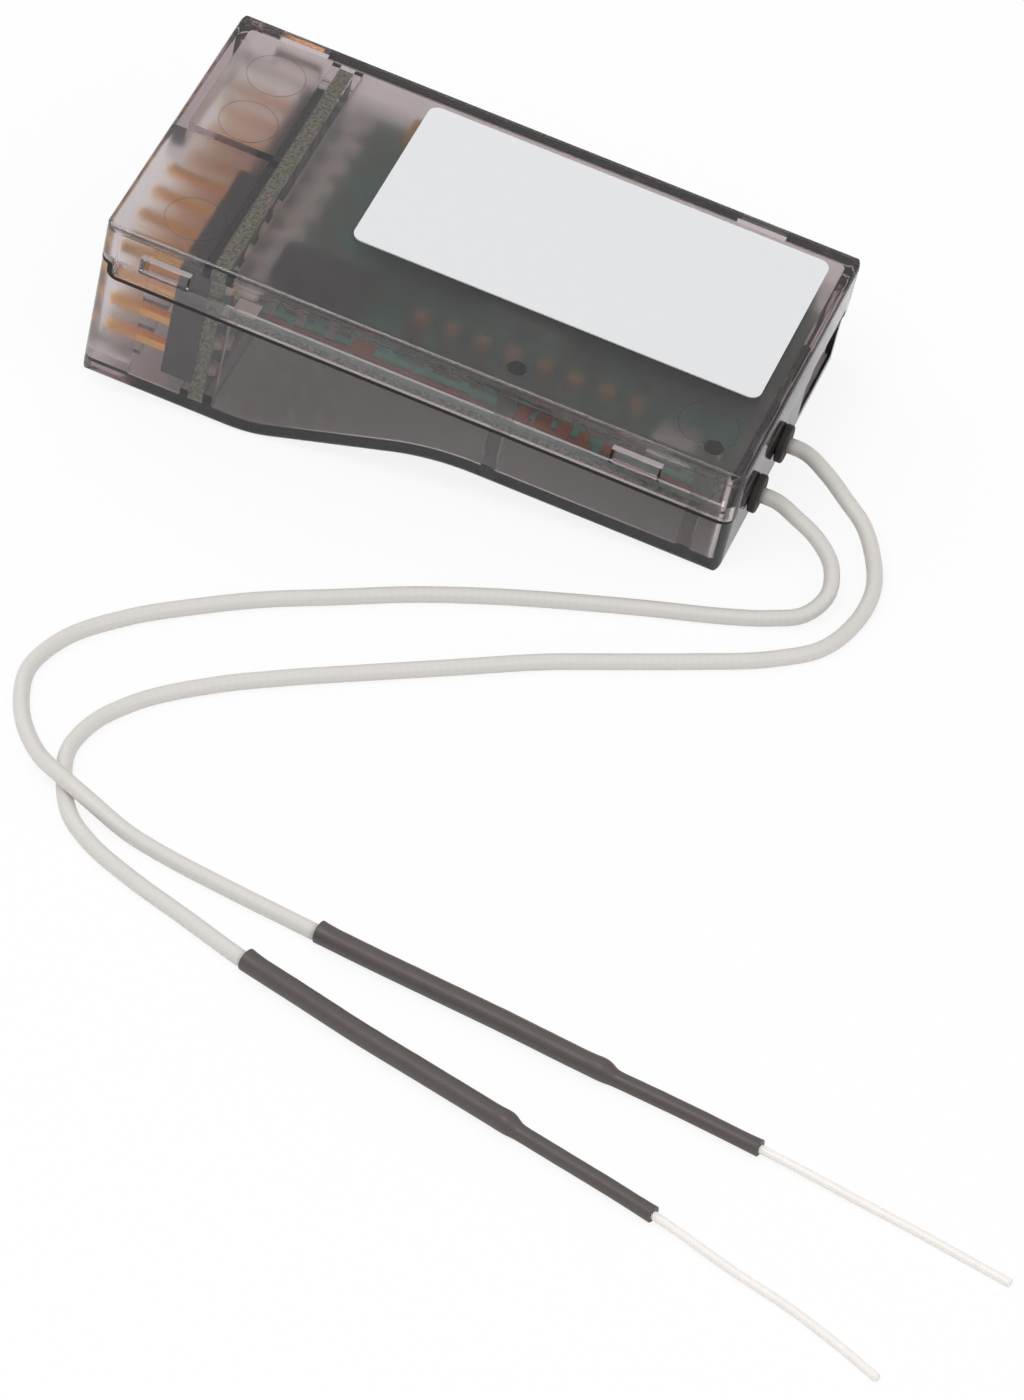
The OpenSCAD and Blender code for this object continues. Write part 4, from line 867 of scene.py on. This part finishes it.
@dataclass(frozen=True)
class Studio:
    """A pale floor, soft lamps, and a camera where the photograph's stood."""

    eye: tuple[float, float, float] = (120.3 * MM, -349.2 * MM, 332.65 * MM)
    aim: tuple[float, float, float] = (14.53 * MM, -29.28 * MM, 0.0)
    roll: float = math.radians(3.84)
    lens_mm: float = 181.93
    sensor_mm: float = 36.0
    floor_half: float = 1.5

    def camera(self) -> None:
        """The camera: it looks from eye to aim, rolled a little."""
        data = bpy.data.cameras.new("camera")
        data.lens = self.lens_mm
        data.sensor_width = self.sensor_mm
        data.clip_start = 0.01
        data.clip_end = 20.0
        camera = bpy.data.objects.new("camera", data)
        look = Vector(self.aim) - Vector(self.eye)
        turn = look.to_track_quat("-Z", "Y") @ Quaternion((0.0, 0.0, 1.0), self.roll)
        camera.matrix_world = Matrix.Translation(self.eye) @ turn.to_matrix().to_4x4()
        bpy.context.scene.collection.objects.link(camera)
        bpy.context.scene.camera = camera

    def seen(self, tree: bpy.types.NodeTree, in_mirrors: float, through: float) -> bpy.types.NodeSocket:
        """How white a surface looks of itself: one straight from the camera, less in mirrors and through clear
        plastic, and zero for the light that it throws on the object.

        Args:
            tree: the material's node tree.
            in_mirrors: the value in mirrors.
            through: the value through clear plastic.

        Returns:
            The share.
        """
        path = add(tree, "ShaderNodeLightPath")
        passed = path.outputs["Is Transmission Ray"]
        mirrored = math_node(tree, "SUBTRACT", path.outputs["Is Glossy Ray"], passed, clamp=True)
        dimmed = math_node(tree, "MAXIMUM", math_node(tree, "MULTIPLY", mirrored, in_mirrors),
                           math_node(tree, "MULTIPLY", passed, through))
        return math_node(tree, "MAXIMUM", path.outputs["Is Camera Ray"], dimmed)

    def floor(self) -> None:
        """The floor: white to the camera, with the object's shadow on it, and clear from below, where the case's
        stepped underside and its link switch are looked at."""
        h = self.floor_half
        mesh = bpy.data.meshes.new("floor")
        mesh.from_pydata([(-h, -h, 0), (h, -h, 0), (h, h, 0), (-h, h, 0)], [], [(0, 1, 2, 3)])
        material = bpy.data.materials.new("white paper")
        material.use_nodes = True
        tree = material.node_tree
        tree.nodes.clear()
        paper = add(tree, "ShaderNodeBsdfDiffuse", Color=linear("#f4f4f4"))
        glow = add(tree, "ShaderNodeEmission", Color=(1.0, 1.0, 1.0, 1.0), Strength=1.0)
        share = math_node(tree, "MULTIPLY", self.seen(tree, 0.4, 0.06), 0.86)
        both = add(tree, "ShaderNodeMixShader", i0=share, i1=paper.outputs[0], i2=glow.outputs[0])
        from_below = add(tree, "ShaderNodeNewGeometry").outputs["Backfacing"]
        clear = add(tree, "ShaderNodeBsdfTransparent")
        sided = add(tree, "ShaderNodeMixShader", i0=from_below, i1=both.outputs[0], i2=clear.outputs[0])
        add(tree, "ShaderNodeOutputMaterial", Surface=sided.outputs[0])
        mesh.materials.append(material)
        floor = bpy.data.objects.new("floor", mesh)
        bpy.context.scene.collection.objects.link(floor)

    def lamp(self, name: str, place: tuple[float, float, float], size: float, power: float) -> None:
        """A square soft lamp that looks at the object.

        Args:
            name: the lamp's name.
            place: where it hangs.
            size: its side, in metres.
            power: its power, in watts.
        """
        data = bpy.data.lights.new(name, "AREA")
        data.size = size
        data.energy = power
        lamp = bpy.data.objects.new(name, data)
        turn = (-Vector(place)).to_track_quat("-Z", "Y")
        lamp.matrix_world = Matrix.Translation(place) @ turn.to_matrix().to_4x4()
        bpy.context.scene.collection.objects.link(lamp)

    def light(self) -> None:
        """Lamps, and a world that is white to the camera, and paler towards the top in mirrors."""
        world = bpy.data.worlds.new("studio")
        bpy.context.scene.world = world
        world.use_nodes = True
        tree = world.node_tree
        tree.nodes.clear()
        direction = add(tree, "ShaderNodeTexCoord")
        height = add(tree, "ShaderNodeSeparateXYZ", Vector=direction.outputs["Generated"])
        around = add(tree, "ShaderNodeMapRange", Value=height.outputs["Z"], From_Min=0.1, From_Max=0.8, To_Min=0.45,
                     To_Max=0.72)
        path = add(tree, "ShaderNodeLightPath")
        strength = math_node(tree, "MAXIMUM", path.outputs["Is Camera Ray"], around.outputs[0])
        back = add(tree, "ShaderNodeBackground", Color=(1.0, 1.0, 1.0, 1.0), Strength=strength)
        output = add(tree, "ShaderNodeOutputWorld")
        tree.links.new(back.outputs[0], output.inputs["Surface"])
        self.lamp("key", (-0.12, -0.26, 0.66), 0.32, 1.38)
        self.lamp("fill", (0.5, -0.3, 0.5), 0.6, 1.1)
        self.lamp("back", (-0.7, 0.3, 0.5), 0.6, 1.3)

    def build(self) -> None:
        """Camera, floor and light, and a plain view transform."""
        self.camera()
        self.floor()
        self.light()
        bpy.context.scene.view_settings.view_transform = "Standard"


def main() -> None:
    """Builds the studio, the antennas and the dressed case."""
    logging.basicConfig(level=logging.INFO, format="%(name)s: %(message)s")
    Studio().build()
    Antenna(Side.NEAR, -7.25 * MM, 100 * MM, NEAR_ROUTE).build()
    Antenna(Side.FAR, -1.75 * MM, 97.5 * MM, FAR_ROUTE).build()
    Copper().build()
    # the near-black bands of painted shade along the parting line
    PaintedPartingShade().build()
    for node, finish in DRESS.items():
        dress(node, finish)


if __name__ == "__main__":
    main()
